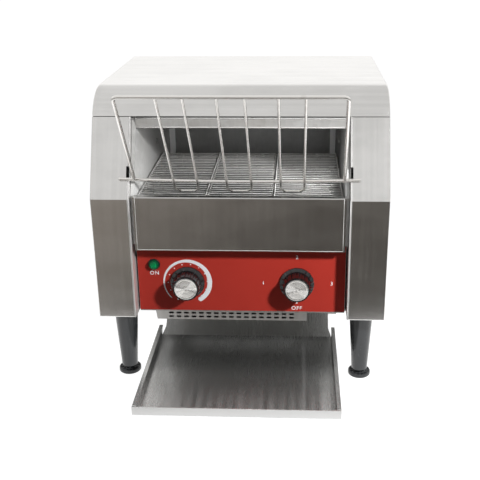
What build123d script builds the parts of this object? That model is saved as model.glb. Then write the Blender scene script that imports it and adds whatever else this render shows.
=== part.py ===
from build123d import *
import os
from math import asin, atan2, cos, degrees, pi, radians, sin, tan

# Conveyor toaster, millimetres. +Z is up, the front faces -Y, X runs to the right,
# and the origin is on the table under the middle of the footprint.

os.makedirs("parts", exist_ok=True)

# ---------------------------------------------------------------- driving dimensions

# Whole machine
overall_width = 368.0
overall_depth = 418.0
leg_height = 99.0
body_height = 288.0
sheet = 1.0                   # stainless sheet of covers and panels
frame_sheet = 1.5             # side frames
bend_radius = 1.5             # outside radius of a fold
fit_gap = 0.2                 # between sheets that are screwed together
tray_reach = 102.0            # tray lip in front of the body
rear_projection = 2.0         # screw heads and cable bushing behind the covers

# Side covers: a box-shaped fold at the front, upright below and slanted above
block_width = 48.3
crease_height = 161.3         # from the base up to the crease
slant_rise = 94.1
slant_run = 42.0
return_depth = 24.0           # inner return of the front fold
flange_width = 16.0           # top and rear flanges
notch_height = 15.5           # notches that carry the rack's lower wire
notch_width = 3.6
seam_gap = 0.8                # between side covers and top cover

# Top cover
cover_front_radius = 48.0
cover_edge_radius = 3.0

# Steel front panel over the control panel
apron_height = 71.1
apron_top_height = 164.6      # above the base
apron_side_gap = 4.3
apron_fold = 9.0
border_width = 3.2            # shallow stepped border of the front panel
border_depth = 0.4

# Control panel
panel_recess = 19.0
panel_side_gap = 1.7
panel_sheet = 1.2
panel_fold = 12.0
overlay_thickness = 0.5
overlay_margin = 1.6          # bare steel under the overlay
lamp_inset = 21.7             # from the left edge of the control panel
lamp_height = 67.3            # above the base
dial_inset = 64.4
selector_inset = 62.3         # from the right edge of the control panel
knob_height = 42.2            # above the base

# Lamp
lens_radius = 6.5
bezel_radius = 7.7
lamp_body_radius = 5.9
lamp_body_depth = 20.0

# Knobs
skirt_radius = 22.2
skirt_height = 2.6
grip_foot_radius = 18.4
grip_top_radius = 16.9
knob_length = 22.0
cap_radius = 14.7
cap_thickness = 1.4
knob_standoff = 0.6           # between overlay and skirt
pointer_width = 1.8
dial_pointer_angle = 215.0    # clockwise from the top, seen from the front
selector_pointer_angle = 180.0
spindle_radius = 3.0
running_gap = 0.05            # radial clearance of a turning fit
bush_radius = 4.8             # threaded bush of the controls
nut_across_flats = 14.0
nut_thickness = 2.0
dial_body_radius = 12.5
dial_body_depth = 11.0
switch_body_size = 40.0
switch_body_depth = 34.0

# Conveyor
belt_gap = 2.5                # between belt and side frame
belt_wire = 1.8
belt_leg_wire = 1.5           # legs that link each cross wire to the next
belt_leg_spread = 1.6         # of the paired inner legs, from the middle of their row
belt_leg_gap = 0.1            # between a leg and the wire it reaches
belt_pitch = 8.0
belt_run_pitches = 24         # pitches between the two shafts
sprocket_teeth = 9
belt_height = 159.0           # top run above the base
front_shaft_offset = 24.0     # front shaft behind the front face
link_line = 41.4              # inner rows of links, from the middle
outer_sprocket_inset = 28.0   # from the edge of the belt
inner_sprocket_x = 20.0
sprocket_thickness = 4.0
shaft_radius = 6.0
bushing_radius = 9.0
bushing_flange = 11.5

# Side frames
frame_gap = 3.7               # between side frame and cover
frame_top_height = 262.0
frame_setback = 9.4           # behind the front face, beside the front panel
frame_rear_gap = 14.0         # in front of the rear face
frame_flange = 9.0
frame_edge_gap = 0.5          # between the frame's front flange and the cover's return

# Hood and heaters
hood_front_offset = 46.0
hood_rear_offset = 215.0
hood_low_height = 240.7
hood_strip_height = 12.3
tube_radius = 5.0
tube_wall = 1.0
tube_overhang = 3.3           # beyond the ceramic end caps
coil_radius = 3.4
tube_offsets = (72.0, 120.0, 168.0)
upper_tube_height = 250.5
end_cap_radius = 8.0
end_cap_length = 10.5
tube_gap = 0.4

# Lower reflector, bulkhead and toast slide
reflector_height = 125.0
reflector_lip = 5.0
bulkhead_offset = 140.0
slide_angle = 35.0
slide_rear_gap = 17.0         # in front of the rear face
slide_radius = 45.0
slide_low_offset = 158.0
slide_low_height = -19.5
slide_top_height = 255.0
slide_tail_inset = 7.5        # tail narrower than the tunnel walls, each side
slide_hem_width = 8.5         # stiffening hems down both sides of the upright part
slide_hem_low_height = 106.0
slide_hem_thickness = 1.2

# Base plate
base_sheet = 1.2
base_margin = 13.0            # beyond the side frames
base_opening_front = 145.0    # behind the front face
base_opening_gap = 5.5        # behind the toast slide
base_opening_margin = 3.0     # beside the toast slide

# Vent pan
pan_left = -115.0
pan_right = 85.0
pan_offset = 25.0             # behind the front face
pan_length = 100.0
pan_drop = 14.5               # below the covers
pan_slant = 2.2
vent_pitch = 9.94
vent_count = 17
vent_first_x = -94.0
vent_length = 6.6
vent_width = 2.6
vent_row_pitch = 5.4

# Receiving tray
tray_tilt = 0.3
tray_side_gap = 4.5           # narrower than the tunnel walls, each side
tray_rail = 5.0               # width of the side walls with their flanges
tray_low_height = 20.5        # underside of the lip above the table
tray_wall = 11.5
tray_sheet = 1.0
tray_floor_length = 197.0
tray_hem = 3.5
tray_corner_gap = 1.4
tray_point = 9.0              # pointed tail of the side walls
ramp_length = 84.0
ramp_neck = 14.0
ramp_inset = 4.0              # each side

# Tray hanger
hanger_sheet = 2.0
hanger_offset = 170.0
hanger_width = 20.0
hanger_arm_inset = 46.0       # from the edge of the tray
hanger_arm_length = 190.0
hanger_side_gap = 3.5         # between cheek and tray

# Loading rack
rack_frame_wire = 4.2
rack_bar_wire = 3.2
rack_top_reach = 92.4         # in front of the front face
rack_top_height = 308.0       # above the base
rack_low_offset = 7.8         # behind the front face
rack_low_height = 185.7
rack_top_inset = 7.5          # from the side frames
rack_low_inset = 3.3
rack_end_overlap = 11.7       # of the lower wire on the side covers
rack_corner_radius = 6.0
rack_low_sag = 4.4
rack_pairs = ((-80.0, -51.0), (-15.0, 15.0), (51.0, 80.0))
rack_kink_offset = 19.0       # behind the front face
rack_kink_height = 170.0
rack_foot_offset = 29.0
rack_foot_height = 164.2
rack_foot_inset = 5.0
rack_bar_overlap = 4.0        # of the bars beyond the axis of the top wire
rack_weld_depth = 0.3         # how far crossing wires sink into each other

# Legs and feet
leg_inset = 27.0              # from the side of the body
front_leg_offset = 37.0       # behind the front face
rear_leg_offset = 45.0        # in front of the rear face
leg_top_radius = 16.0
leg_low_radius = 10.6
foot_radius = 14.7
foot_thickness = 5.6
foot_neck_radius = 7.0
foot_neck_height = 9.0
foot_stem_radius = 4.0
foot_stem_length = 30.0
leg_bore_depth = 46.0

# Drive
motor_offset = 95.0           # behind the front face
motor_height = 55.0           # above the base
gearbox_size = 56.0
gearbox_depth = 28.0
motor_can_radius = 25.0
motor_can_length = 48.0
motor_shaft_radius = 4.0
chain_pitch = 6.35
motor_teeth = 11
driven_teeth = 16
chain_roller_radius = 1.65
chain_gap = 18.0              # beside the right side frame
chain_wheel_thickness = 2.4
chain_plate = 0.8
chain_plate_width = 5.0
chain_inner_width = 3.2

# Fan
fan_x = -45.0
fan_offset = 78.0             # behind the front face
fan_size = 80.0
fan_depth = 25.0
fan_duct_radius = 37.5
fan_tip_radius = 35.5
fan_hub_radius = 15.0
fan_blades = 7
fan_blade_thickness = 1.6
fan_blade_pitch = 40.0
fan_strut = 3.0
fan_pin_radius = 2.0
fan_pin_length = 10.0
rotor_height = 17.0
rotor_gap = 0.5               # above the struts

# Control board and terminal block
board_x = -60.0
board_height = 85.0           # middle, above the base
board_inset = 8.0             # in front of the bulkhead
board_size = (100.0, 1.6, 58.0)
relay_size = (16.0, 16.0, 28.0)
relay_rise = 10.0             # above the middle of the board
relay_xs = (-30.0, -8.0)      # from the middle of the board
supply_size = (24.0, 20.0, 40.0)
supply_x = 30.0
standoff_size = 6.0
standoff_length = 7.2
standoff_xs = (-45.0, 45.0)
standoff_rises = (-24.0, 24.0)
block_inset = 60.0            # in front of the rear face
block_size = (20.0, 44.0, 18.0)
block_chamfer = 4.0
terminal_count = 4
terminal_pitch = 10.0
terminal_size = (9.0, 6.0, 8.0)

# Back panel
back_margin = 6.0             # narrower than the body, each side
vent_slot_length = 34.0
vent_slot_width = 4.0
vent_slot_gap = 14.0
vent_group_heights = (70.0, 215.0)
cable_edge_gap = 1.0          # between bushing and rear flange
cable_height = 30.0           # above the base
cable_bore_radius = 4.5
cable_bushing_radius = 11.0

# Screws
screw_head_radius = 3.6
screw_head_height = 2.0
screw_recess_length = 4.0     # cross recess
screw_recess_width = 0.9
screw_recess_depth = 1.1
back_screw_rows = 4
back_screw_margin = 18.0      # from the lower and upper edges of the rear flanges

# ---------------------------------------------------------------- derived places

half_width = overall_width / 2
front_y = -overall_depth / 2 + tray_reach
rear_y = overall_depth / 2 - rear_projection
base_z = leg_height
top_z = base_z + body_height
block_inner = half_width - block_width
crease_z = base_z + crease_height
seam_y = front_y + slant_run
seam_z = crease_z + slant_rise
apron_top_z = base_z + apron_top_height
apron_bottom_z = apron_top_z - apron_height
apron_half_width = block_inner - apron_side_gap
panel_y = front_y + panel_recess
panel_half_width = block_inner - panel_side_gap
lamp_x = lamp_inset - panel_half_width
dial_x = dial_inset - panel_half_width
selector_x = panel_half_width - selector_inset
panel_rear_y = panel_y + overlay_thickness + panel_sheet
panel_bottom_z = base_z + 0.5
panel_top_z = apron_bottom_z + 4.0
knob_z = base_z + knob_height
floor_z = base_z + sheet                      # underside of the base plate
deck_z = floor_z + base_sheet                 # upper face of the base plate
frame_half_width = block_inner - frame_gap
frame_inner = frame_half_width - frame_sheet
belt_half_width = frame_inner - belt_gap
tray_half_width = frame_inner - tray_side_gap
tray_inner_half_width = tray_half_width - tray_rail
base_half_width = frame_half_width + base_margin
inner_half_width = frame_inner - fit_gap
sprocket_radius = belt_pitch / 2 / sin(pi / sprocket_teeth)
shaft_z = base_z + belt_height - sprocket_radius
front_shaft_y = front_y + front_shaft_offset
rear_shaft_y = front_shaft_y + belt_run_pitches * belt_pitch
motor_y = front_y + motor_offset
motor_z = base_z + motor_height
motor_wheel_radius = chain_pitch / 2 / sin(pi / motor_teeth)
driven_wheel_radius = chain_pitch / 2 / sin(pi / driven_teeth)
chain_x = frame_half_width + chain_gap
rack_top_y = front_y - rack_top_reach
rack_top_z = base_z + rack_top_height
rack_low_y = front_y + rack_low_offset
rack_low_z = base_z + rack_low_height
slide_y = rear_y - slide_rear_gap
slide_tail_half_width = frame_inner - slide_tail_inset
cable_x = half_width - flange_width - cable_edge_gap - cable_bushing_radius


def slant_y(z):
    """Y of the slanted front plane at height z."""
    return front_y + (z - crease_z) * slant_run / slant_rise


def keep(piece, name):
    """Label a finished piece and write its STEP file."""
    piece.label = name
    export_step(piece, f"parts/{name}.step")


def mirrored(piece):
    """The same piece on the other side of the machine."""
    with BuildPart() as other:
        mirror(piece, about=Plane.YZ)
    return other.part


def across(x, y, z):
    """Plane whose normal runs along +X, with its origin at a point."""
    return Plane(origin=(x, y, z), x_dir=(0, 1, 0), z_dir=(1, 0, 0))


def facing(x, y, z):
    """Plane that faces the front, with its origin at a point."""
    return Plane(origin=(x, y, z), x_dir=(1, 0, 0), z_dir=(0, -1, 0))


# ---------------------------------------------------------------- outer covers

def side_cover():
    """Right cover: outer wall, box fold at the front, bottom wall, top and rear flanges."""
    with BuildPart() as cover:
        with BuildSketch(Plane.YZ.offset(block_inner)):
            with BuildLine():
                Polyline(
                    (front_y, base_z),
                    (front_y, crease_z),
                    (seam_y, seam_z),
                    (rear_y, seam_z),
                    (rear_y, base_z),
                    close=True,
                )
            make_face()
        extrude(amount=block_width)
        outer_folds = cover.edges().group_by(Axis.X)[-1].sort_by(Axis.Y)[:2]
        inner_folds = cover.edges().group_by(Axis.X)[0].sort_by(Axis.Y)[:2]
        cross_folds = cover.edges().filter_by(Axis.X).group_by(Axis.Y)[0]
        fillet(outer_folds + inner_folds + cross_folds, radius=bend_radius)
        offset(amount=-sheet, openings=cover.faces().sort_by(Axis.Z)[-1])
        with BuildSketch(Plane.YZ.offset(block_inner - sheet)):
            with BuildLine():
                Polyline(
                    (front_y + return_depth, base_z + sheet),
                    (front_y + return_depth, crease_z),
                    (seam_y + return_depth, seam_z + sheet),
                    (rear_y + sheet, seam_z + sheet),
                    (rear_y + sheet, base_z + sheet),
                    close=True,
                )
            make_face()
        extrude(amount=block_width - flange_width + sheet, mode=Mode.SUBTRACT)
        notch_z = rack_low_z - rack_frame_wire / 2
        with BuildSketch(Plane.YZ.offset(block_inner - sheet)):
            with BuildLine():
                Polyline(
                    (slant_y(notch_z) - sheet, notch_z),
                    (slant_y(notch_z + notch_height) - sheet, notch_z + notch_height),
                    (slant_y(notch_z + notch_height) + 2 * notch_width, notch_z + notch_height),
                    (slant_y(notch_z) + 2 * notch_width, notch_z),
                    close=True,
                )
            make_face()
        extrude(amount=notch_width + sheet, mode=Mode.SUBTRACT)
    return cover.part


right_cover = side_cover()
keep(mirrored(right_cover), "side_cover_left")
keep(right_cover, "side_cover_right")

# Top cover: a deep lid, slanted and curved at the front, open below
cover_low_z = seam_z + seam_gap
with BuildPart() as top_cover:
    with BuildSketch(Plane.YZ.offset(-half_width)):
        with BuildLine():
            FilletPolyline(
                (slant_y(cover_low_z), cover_low_z),
                (slant_y(top_z), top_z),
                (rear_y, top_z),
                radius=cover_front_radius,
            )
            Polyline((rear_y, top_z), (rear_y, cover_low_z), (slant_y(cover_low_z), cover_low_z))
        make_face()
    extrude(amount=overall_width)
    left_edges = top_cover.edges().group_by(Axis.X)[0].sort_by(Axis.Z)[1:]
    right_edges = top_cover.edges().group_by(Axis.X)[-1].sort_by(Axis.Z)[1:]
    rear_edge = top_cover.edges().filter_by(Axis.X).group_by(Axis.Y)[-1].sort_by(Axis.Z)[-1]
    fillet(left_edges + right_edges + [rear_edge], radius=cover_edge_radius)
    offset(amount=-sheet, openings=top_cover.faces().sort_by(Axis.Z)[0])
keep(top_cover.part, "top_cover")

# Steel front panel: a shallow pan, open to the rear, with a long lower fold
with BuildPart() as front_panel:
    with BuildSketch(Plane.XZ.offset(-front_y)):
        with Locations((0, apron_top_z - apron_height / 2)):
            Rectangle(2 * apron_half_width, apron_height)
    extrude(amount=-apron_fold)
    fillet(front_panel.faces().sort_by(Axis.Y)[0].edges(), radius=bend_radius)
    offset(amount=-sheet, openings=front_panel.faces().sort_by(Axis.Y)[-1])
    with BuildSketch(Plane.XZ.offset(-front_y - apron_fold)):
        with Locations((0, apron_bottom_z + sheet / 2)):
            Rectangle(2 * (apron_half_width - bend_radius), sheet)
    extrude(amount=-(panel_recess - apron_fold - fit_gap))
    with BuildSketch(Plane.XZ.offset(-front_y)):
        with Locations((0, apron_top_z - apron_height / 2)):
            Rectangle(2 * apron_half_width, apron_height + 2 * sheet)
        with Locations((0, apron_top_z - apron_height / 2 + border_width)):
            Rectangle(
                2 * (apron_half_width - border_width),
                apron_height + border_width,
                mode=Mode.SUBTRACT,
            )
    extrude(amount=-border_depth, mode=Mode.SUBTRACT)
keep(front_panel.part, "front_panel")

# Control panel: upright sheet with a fold that lies on the base plate
panel_holes = (
    (lamp_x, base_z + lamp_height, lamp_body_radius + fit_gap),
    (dial_x, knob_z, bush_radius + fit_gap),
    (selector_x, knob_z, bush_radius + fit_gap),
)


def panel_outline(half, low, high, corner):
    """Rectangle of a panel with its holes and rounded lower corners."""
    with BuildSketch(Plane.XZ) as outline:
        with Locations((0, (low + high) / 2)):
            Rectangle(2 * half, high - low)
        fillet(outline.vertices().group_by(Axis.Z)[0], radius=corner)
        for x, z, radius in panel_holes:
            with Locations((x, z)):
                Circle(radius, mode=Mode.SUBTRACT)
    return outline.sketch_local


with BuildPart() as control_panel:
    with BuildSketch(Plane.XZ.offset(-panel_y - overlay_thickness)):
        add(panel_outline(panel_half_width, panel_bottom_z, panel_top_z, overlay_margin))
    extrude(amount=-panel_sheet)
    with BuildSketch(Plane.XY.offset(deck_z + fit_gap)):
        with Locations((0, panel_rear_y + panel_fold / 2)):
            Rectangle(2 * (panel_half_width - 6 * panel_side_gap), panel_fold)
    extrude(amount=panel_sheet)
keep(control_panel.part, "control_panel")

with BuildPart() as panel_overlay:
    with BuildSketch(Plane.XZ.offset(-panel_y)):
        add(
            panel_outline(
                panel_half_width - overlay_margin / 4,
                panel_bottom_z + overlay_margin,
                panel_top_z,
                overlay_margin,
            )
        )
    extrude(amount=-overlay_thickness)
keep(panel_overlay.part, "panel_overlay")

# Back panel: flat sheet inside the rear flanges, with vents and the cable hole
back_y = rear_y - sheet - fit_gap / 2
with BuildPart() as back_panel:
    with BuildSketch(Plane.XZ.offset(-back_y)):
        with Locations((0, (deck_z + fit_gap + seam_z - sheet) / 2)):
            Rectangle(2 * (half_width - back_margin), seam_z - sheet - deck_z - fit_gap)
        with Locations(*[(0, base_z + height) for height in vent_group_heights]):
            with GridLocations(vent_slot_length + vent_slot_gap, 3 * vent_slot_width, 5, 3):
                SlotOverall(vent_slot_length, vent_slot_width, mode=Mode.SUBTRACT)
        with Locations((cable_x, base_z + cable_height)):
            Circle(cable_bushing_radius - 3 + fit_gap, mode=Mode.SUBTRACT)
    extrude(amount=sheet)
keep(back_panel.part, "back_panel")

# Cable inlet: round bushing snapped into the back panel
bushing_front = rear_y + rear_projection - back_y
with BuildPart() as cable_bushing:
    with BuildSketch(Plane.XY):
        with BuildLine():
            Polyline(
                (cable_bore_radius, bushing_front),
                (cable_bushing_radius - 1, bushing_front),
                (cable_bushing_radius, bushing_front - 1),
                (cable_bushing_radius, fit_gap / 2),
                (cable_bushing_radius - 3, fit_gap / 2),
                (cable_bushing_radius - 3, -5),
                (cable_bore_radius, -5),
                close=True,
            )
        make_face()
    revolve(axis=Axis.Y)
cable_bushing.part.position = (cable_x, back_y, base_z + cable_height)
keep(cable_bushing.part, "cable_bushing")

# ---------------------------------------------------------------- base, pan and legs

fan_y = front_y + fan_offset
with BuildPart() as base_plate:
    base_front_y = panel_rear_y + fit_gap
    fold_rear_y = front_y + return_depth + fit_gap
    base_rear_y = back_y - sheet - fit_gap
    with BuildSketch(Plane.XY.offset(floor_z)):
        with Locations((0, (base_front_y + base_rear_y) / 2)):
            Rectangle(2 * panel_half_width, base_rear_y - base_front_y)
        with Locations((0, (fold_rear_y + base_rear_y) / 2)):
            Rectangle(2 * base_half_width, base_rear_y - fold_rear_y)
        opening_front_y = front_y + base_opening_front
        opening_rear_y = slide_y + base_opening_gap
        with Locations((0, (opening_front_y + opening_rear_y) / 2)):
            Rectangle(
                2 * (slide_tail_half_width + base_opening_margin),
                opening_rear_y - opening_front_y,
                mode=Mode.SUBTRACT,
            )
        with Locations((fan_x, fan_y)):
            Circle(fan_duct_radius, mode=Mode.SUBTRACT)
    extrude(amount=base_sheet)
keep(base_plate.part, "base_plate")

# Vent pan: open-topped pan under the base plate, with two rows of slots in front
pan_y = front_y + pan_offset
pan_z = base_z - pan_drop
with BuildPart() as vent_pan:
    with BuildSketch(Plane.XZ.offset(-pan_y)):
        with BuildLine():
            Polyline(
                (pan_left, floor_z),
                (pan_right, floor_z),
                (pan_right, pan_z),
                (pan_left + pan_slant, pan_z),
                close=True,
            )
        make_face()
    extrude(amount=-pan_length)
    offset(amount=-sheet, openings=vent_pan.faces().sort_by(Axis.Z)[-1])
    vent_middle_x = vent_first_x + vent_pitch * (vent_count - 1) / 2
    with BuildSketch(Plane.XZ.offset(-pan_y)):
        with Locations((vent_middle_x, pan_z + vent_row_pitch * 1.25)):
            with GridLocations(vent_pitch, vent_row_pitch, vent_count, 2):
                SlotOverall(vent_length, vent_width)
    extrude(amount=-2 * sheet, mode=Mode.SUBTRACT)
keep(vent_pan.part, "vent_pan")

leg_x = half_width - leg_inset
leg_places = {
    "front_left": (-leg_x, front_y + front_leg_offset),
    "front_right": (leg_x, front_y + front_leg_offset),
    "rear_left": (-leg_x, rear_y - rear_leg_offset),
    "rear_right": (leg_x, rear_y - rear_leg_offset),
}


def leg(x, y):
    """Tapered round leg with a bore for the stem of its foot."""
    with BuildPart() as body:
        with BuildSketch(Plane.XZ):
            with BuildLine():
                Polyline(
                    (foot_stem_radius + running_gap, foot_neck_height),
                    (leg_low_radius - 1, foot_neck_height),
                    (leg_low_radius, foot_neck_height + 1),
                    (leg_top_radius, base_z),
                    (0, base_z),
                    (0, foot_neck_height + leg_bore_depth),
                    (foot_stem_radius + running_gap, foot_neck_height + leg_bore_depth),
                    close=True,
                )
            make_face()
        revolve(axis=Axis.Z)
    return body.part.moved(Location((x, y, 0)))


def foot(x, y):
    """Levelling foot: disc, neck and stem that screws into the leg."""
    neck_top = foot_neck_height - fit_gap
    with BuildPart() as body:
        with BuildSketch(Plane.XZ):
            with BuildLine():
                Polyline(
                    (0, 0),
                    (foot_radius - 1, 0),
                    (foot_radius, 1),
                    (foot_radius, foot_thickness - 1.5),
                    (foot_radius - 1.5, foot_thickness),
                    (foot_neck_radius, foot_thickness),
                    (foot_neck_radius, neck_top),
                    (foot_stem_radius, neck_top),
                    (foot_stem_radius, neck_top + foot_stem_length),
                    (0, neck_top + foot_stem_length),
                    close=True,
                )
            make_face()
        revolve(axis=Axis.Z)
    return body.part.moved(Location((x, y, 0)))


for corner, (x, y) in leg_places.items():
    keep(leg(x, y), f"leg_{corner}")
    keep(foot(x, y), f"foot_{corner}")

# ---------------------------------------------------------------- inner frame

tube_places = []
for tube_offset in tube_offsets:
    tube_places.append((front_y + tube_offset, base_z + upper_tube_height))
    tube_places.append((front_y + tube_offset, shaft_z))
shaft_places = ((front_shaft_y, shaft_z), (rear_shaft_y, shaft_z))
frame_rear_y = rear_y - frame_rear_gap
frame_top_z = base_z + frame_top_height
motor_hole_radius = motor_shaft_radius + 4.0


def side_frame(has_motor):
    """Right wall of the tunnel with its outward flanges and bearing holes."""
    front_edge_y = front_y + frame_setback
    with BuildPart() as frame:
        with BuildSketch(Plane.YZ.offset(frame_inner)):
            with BuildLine():
                Polyline(
                    (panel_rear_y + fit_gap, deck_z),
                    (panel_rear_y + fit_gap, panel_top_z + sheet),
                    (front_edge_y, panel_top_z + sheet),
                    (front_edge_y, crease_z),
                    (slant_y(frame_top_z) + frame_setback, frame_top_z),
                    (frame_rear_y, frame_top_z),
                    (frame_rear_y, deck_z),
                    close=True,
                )
            make_face()
            with Locations(*shaft_places):
                Circle(bushing_radius + running_gap, mode=Mode.SUBTRACT)
            with Locations(*tube_places):
                Circle(tube_radius + tube_gap, mode=Mode.SUBTRACT)
            if has_motor:
                with Locations((motor_y, motor_z)):
                    Circle(motor_hole_radius, mode=Mode.SUBTRACT)
        extrude(amount=frame_sheet)
        flange_front = slant_y(frame_top_z) + frame_setback
        with BuildSketch(Plane.YZ.offset(frame_half_width)):
            with BuildLine():
                Polyline(
                    (front_edge_y, panel_top_z + sheet),
                    (front_edge_y, crease_z),
                    (flange_front, frame_top_z),
                )
                offset(amount=frame_sheet, side=Side.RIGHT)
            make_face()
        extrude(amount=frame_gap - frame_edge_gap)
        with BuildSketch(Plane.XY.offset(frame_top_z - frame_sheet)):
            with Locations((frame_half_width + frame_flange / 2, (flange_front + frame_rear_y) / 2)):
                Rectangle(frame_flange, frame_rear_y - flange_front)
        extrude(amount=frame_sheet)
        with BuildSketch(Plane.XY.offset(deck_z)):
            with Locations((frame_half_width + frame_flange / 2, (fold_rear_y + frame_rear_y) / 2)):
                Rectangle(frame_flange, frame_rear_y - fold_rear_y)
        extrude(amount=frame_sheet)
    return frame.part


keep(side_frame(True), "side_frame_right")
keep(mirrored(side_frame(False)), "side_frame_left")

# Hood over the upper heaters: front strip, sloping shoulder, closed top and rear, open below
hood_y = front_y + hood_front_offset
hood_z = base_z + hood_low_height
with BuildPart() as hood:
    with BuildSketch(Plane.YZ.offset(-inner_half_width)):
        with BuildLine():
            Polyline(
                (hood_y, hood_z),
                (hood_y, hood_z + hood_strip_height),
                (hood_y + hood_strip_height, frame_top_z),
                (front_y + hood_rear_offset, frame_top_z),
                (front_y + hood_rear_offset, hood_z),
                close=True,
            )
        make_face()
    extrude(amount=2 * inner_half_width)
    offset(amount=-sheet, openings=hood.faces().sort_by(Axis.Z)[0])
    with BuildSketch(Plane.YZ.offset(-inner_half_width)):
        with Locations(*[place for place in tube_places if place[1] > hood_z]):
            Circle(tube_radius + tube_gap)
    extrude(amount=2 * inner_half_width, mode=Mode.SUBTRACT)
keep(hood.part, "hood")

# Lower reflector: tray-shaped sheet under the belt, with upturned front and rear lips
with BuildPart() as lower_reflector:
    reflector_z = base_z + reflector_height
    reflector_front = front_shaft_y - 4.0
    reflector_rear = rear_shaft_y
    with BuildSketch(Plane.YZ.offset(-inner_half_width)):
        with BuildLine():
            Polyline(
                (reflector_front - reflector_lip, reflector_z + reflector_lip),
                (reflector_front, reflector_z),
                (reflector_rear, reflector_z),
                (reflector_rear + reflector_lip, reflector_z + reflector_lip),
            )
            offset(amount=sheet, side=Side.RIGHT)
        make_face()
    extrude(amount=2 * inner_half_width)
keep(lower_reflector.part, "lower_reflector")

# Bulkhead: closes the control compartment towards the toast slide
with BuildPart() as bulkhead:
    with BuildSketch(Plane.XZ.offset(-front_y - bulkhead_offset)):
        with Locations((0, (deck_z + fit_gap + reflector_z - sheet - fit_gap) / 2)):
            Rectangle(2 * inner_half_width, reflector_z - sheet - deck_z - 2 * fit_gap)
    extrude(amount=-sheet)
    with BuildSketch(Plane.XY.offset(reflector_z - 2 * sheet - fit_gap)):
        with Locations((0, front_y + bulkhead_offset - frame_flange / 2)):
            Rectangle(2 * inner_half_width, frame_flange)
    extrude(amount=sheet)
keep(bulkhead.part, "bulkhead")

# Toast slide: upright behind the belt, then curved forward and down to the tray
slide_low_y = front_y + slide_low_offset
slide_low_z = base_z + slide_low_height
slide_corner_z = slide_low_z + (slide_y - slide_low_y) * tan(radians(slide_angle))
with BuildPart() as toast_slide:
    with BuildSketch(Plane.YZ.offset(-inner_half_width)):
        with BuildLine():
            FilletPolyline(
                (slide_y, base_z + slide_top_height),
                (slide_y, slide_corner_z),
                (slide_low_y, slide_low_z),
                radius=slide_radius,
            )
            offset(amount=sheet, side=Side.LEFT)
        make_face()
    extrude(amount=2 * inner_half_width)
    tail_margin = inner_half_width - slide_tail_half_width
    tail_x = slide_tail_half_width + tail_margin / 2
    with BuildSketch(Plane.XY.offset(slide_low_z - 2 * sheet)):
        with Locations((-tail_x, (slide_low_y + slide_y) / 2), (tail_x, (slide_low_y + slide_y) / 2)):
            Rectangle(tail_margin + fit_gap, slide_y - slide_low_y + 4 * sheet)
    extrude(amount=deck_z + 2 * sheet - slide_low_z + 2 * sheet, mode=Mode.SUBTRACT)
    hem_x = inner_half_width - slide_hem_width / 2
    hem_height = slide_top_height - slide_hem_low_height
    with BuildSketch(Plane.XZ.offset(-slide_y)):
        with Locations((-hem_x, base_z + slide_top_height - hem_height / 2)):
            Rectangle(slide_hem_width, hem_height)
        with Locations((hem_x, base_z + slide_top_height - hem_height / 2)):
            Rectangle(slide_hem_width, hem_height)
    extrude(amount=slide_hem_thickness)
keep(toast_slide.part, "toast_slide")

# ---------------------------------------------------------------- heaters

tube_half_length = frame_half_width + fit_gap + end_cap_length + tube_overhang
heater_span = 2 * tube_half_length
with BuildPart() as quartz_tubes:
    with BuildSketch(Plane.YZ.offset(-tube_half_length)):
        with Locations(*tube_places):
            Circle(tube_radius)
            Circle(tube_radius - tube_wall, mode=Mode.SUBTRACT)
    extrude(amount=heater_span)
keep(quartz_tubes.part, "quartz_tubes")

with BuildPart() as heater_coils:
    with BuildSketch(Plane.YZ.offset(-tube_half_length + end_cap_length)):
        with Locations(*tube_places):
            Circle(coil_radius)
    extrude(amount=heater_span - 2 * end_cap_length)
keep(heater_coils.part, "heater_coils")

with BuildPart() as heater_end_caps:
    for cap_start in (frame_half_width + fit_gap, -frame_half_width - fit_gap - end_cap_length):
        with BuildSketch(Plane.YZ.offset(cap_start)):
            with Locations(*tube_places):
                RegularPolygon(end_cap_radius, 8)
                Circle(tube_radius + fit_gap, mode=Mode.SUBTRACT)
        extrude(amount=end_cap_length)
keep(heater_end_caps.part, "heater_end_caps")

# ---------------------------------------------------------------- conveyor


def belt_stations():
    """Places of the cross wires around the loop, as (y, z) in travel order."""
    step = 2 * pi / sprocket_teeth
    arc_count = sprocket_teeth // 2
    half_step_offset = belt_pitch / 2
    stations = []
    for index in range(belt_run_pitches + 1):
        stations.append((front_shaft_y + index * belt_pitch, shaft_z + sprocket_radius))
    for index in range(arc_count):
        angle = pi / 2 - (index + 1) * step
        stations.append(
            (rear_shaft_y + sprocket_radius * cos(angle), shaft_z + sprocket_radius * sin(angle))
        )
    for index in range(belt_run_pitches):
        stations.append(
            (rear_shaft_y - half_step_offset - index * belt_pitch, shaft_z - sprocket_radius)
        )
    for index in range(arc_count):
        angle = -pi / 2 - (index + 0.5) * step
        stations.append(
            (front_shaft_y + sprocket_radius * cos(angle), shaft_z + sprocket_radius * sin(angle))
        )
    return stations


def belt_strand(reach):
    """One cross wire with the legs that reach back to the next one."""
    edge_x = belt_half_width - belt_wire / 2
    leg_xs = [-edge_x, edge_x]
    for row_x in (-link_line, link_line):
        leg_xs += [row_x - belt_leg_spread, row_x + belt_leg_spread]
    with BuildPart() as strand:
        with BuildSketch(Plane.YZ.offset(-belt_half_width)):
            Circle(belt_wire / 2)
        extrude(amount=2 * belt_half_width)
        with BuildSketch(Plane.XZ):
            with Locations(*[(x, 0) for x in leg_xs]):
                Circle(belt_leg_wire / 2)
        extrude(amount=-reach)
    return strand.part


with BuildPart() as belt:
    stations = belt_stations()
    strand_shape = belt_strand(belt_pitch - belt_wire / 2 - belt_leg_gap)
    for (y, z), (next_y, next_z) in zip(stations, stations[1:] + stations[:1]):
        heading = degrees(atan2(next_z - z, next_y - y))
        with Locations(Location((0, y, z), (heading, 0, 0))):
            add(strand_shape)
keep(belt.part, "belt")


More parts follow.
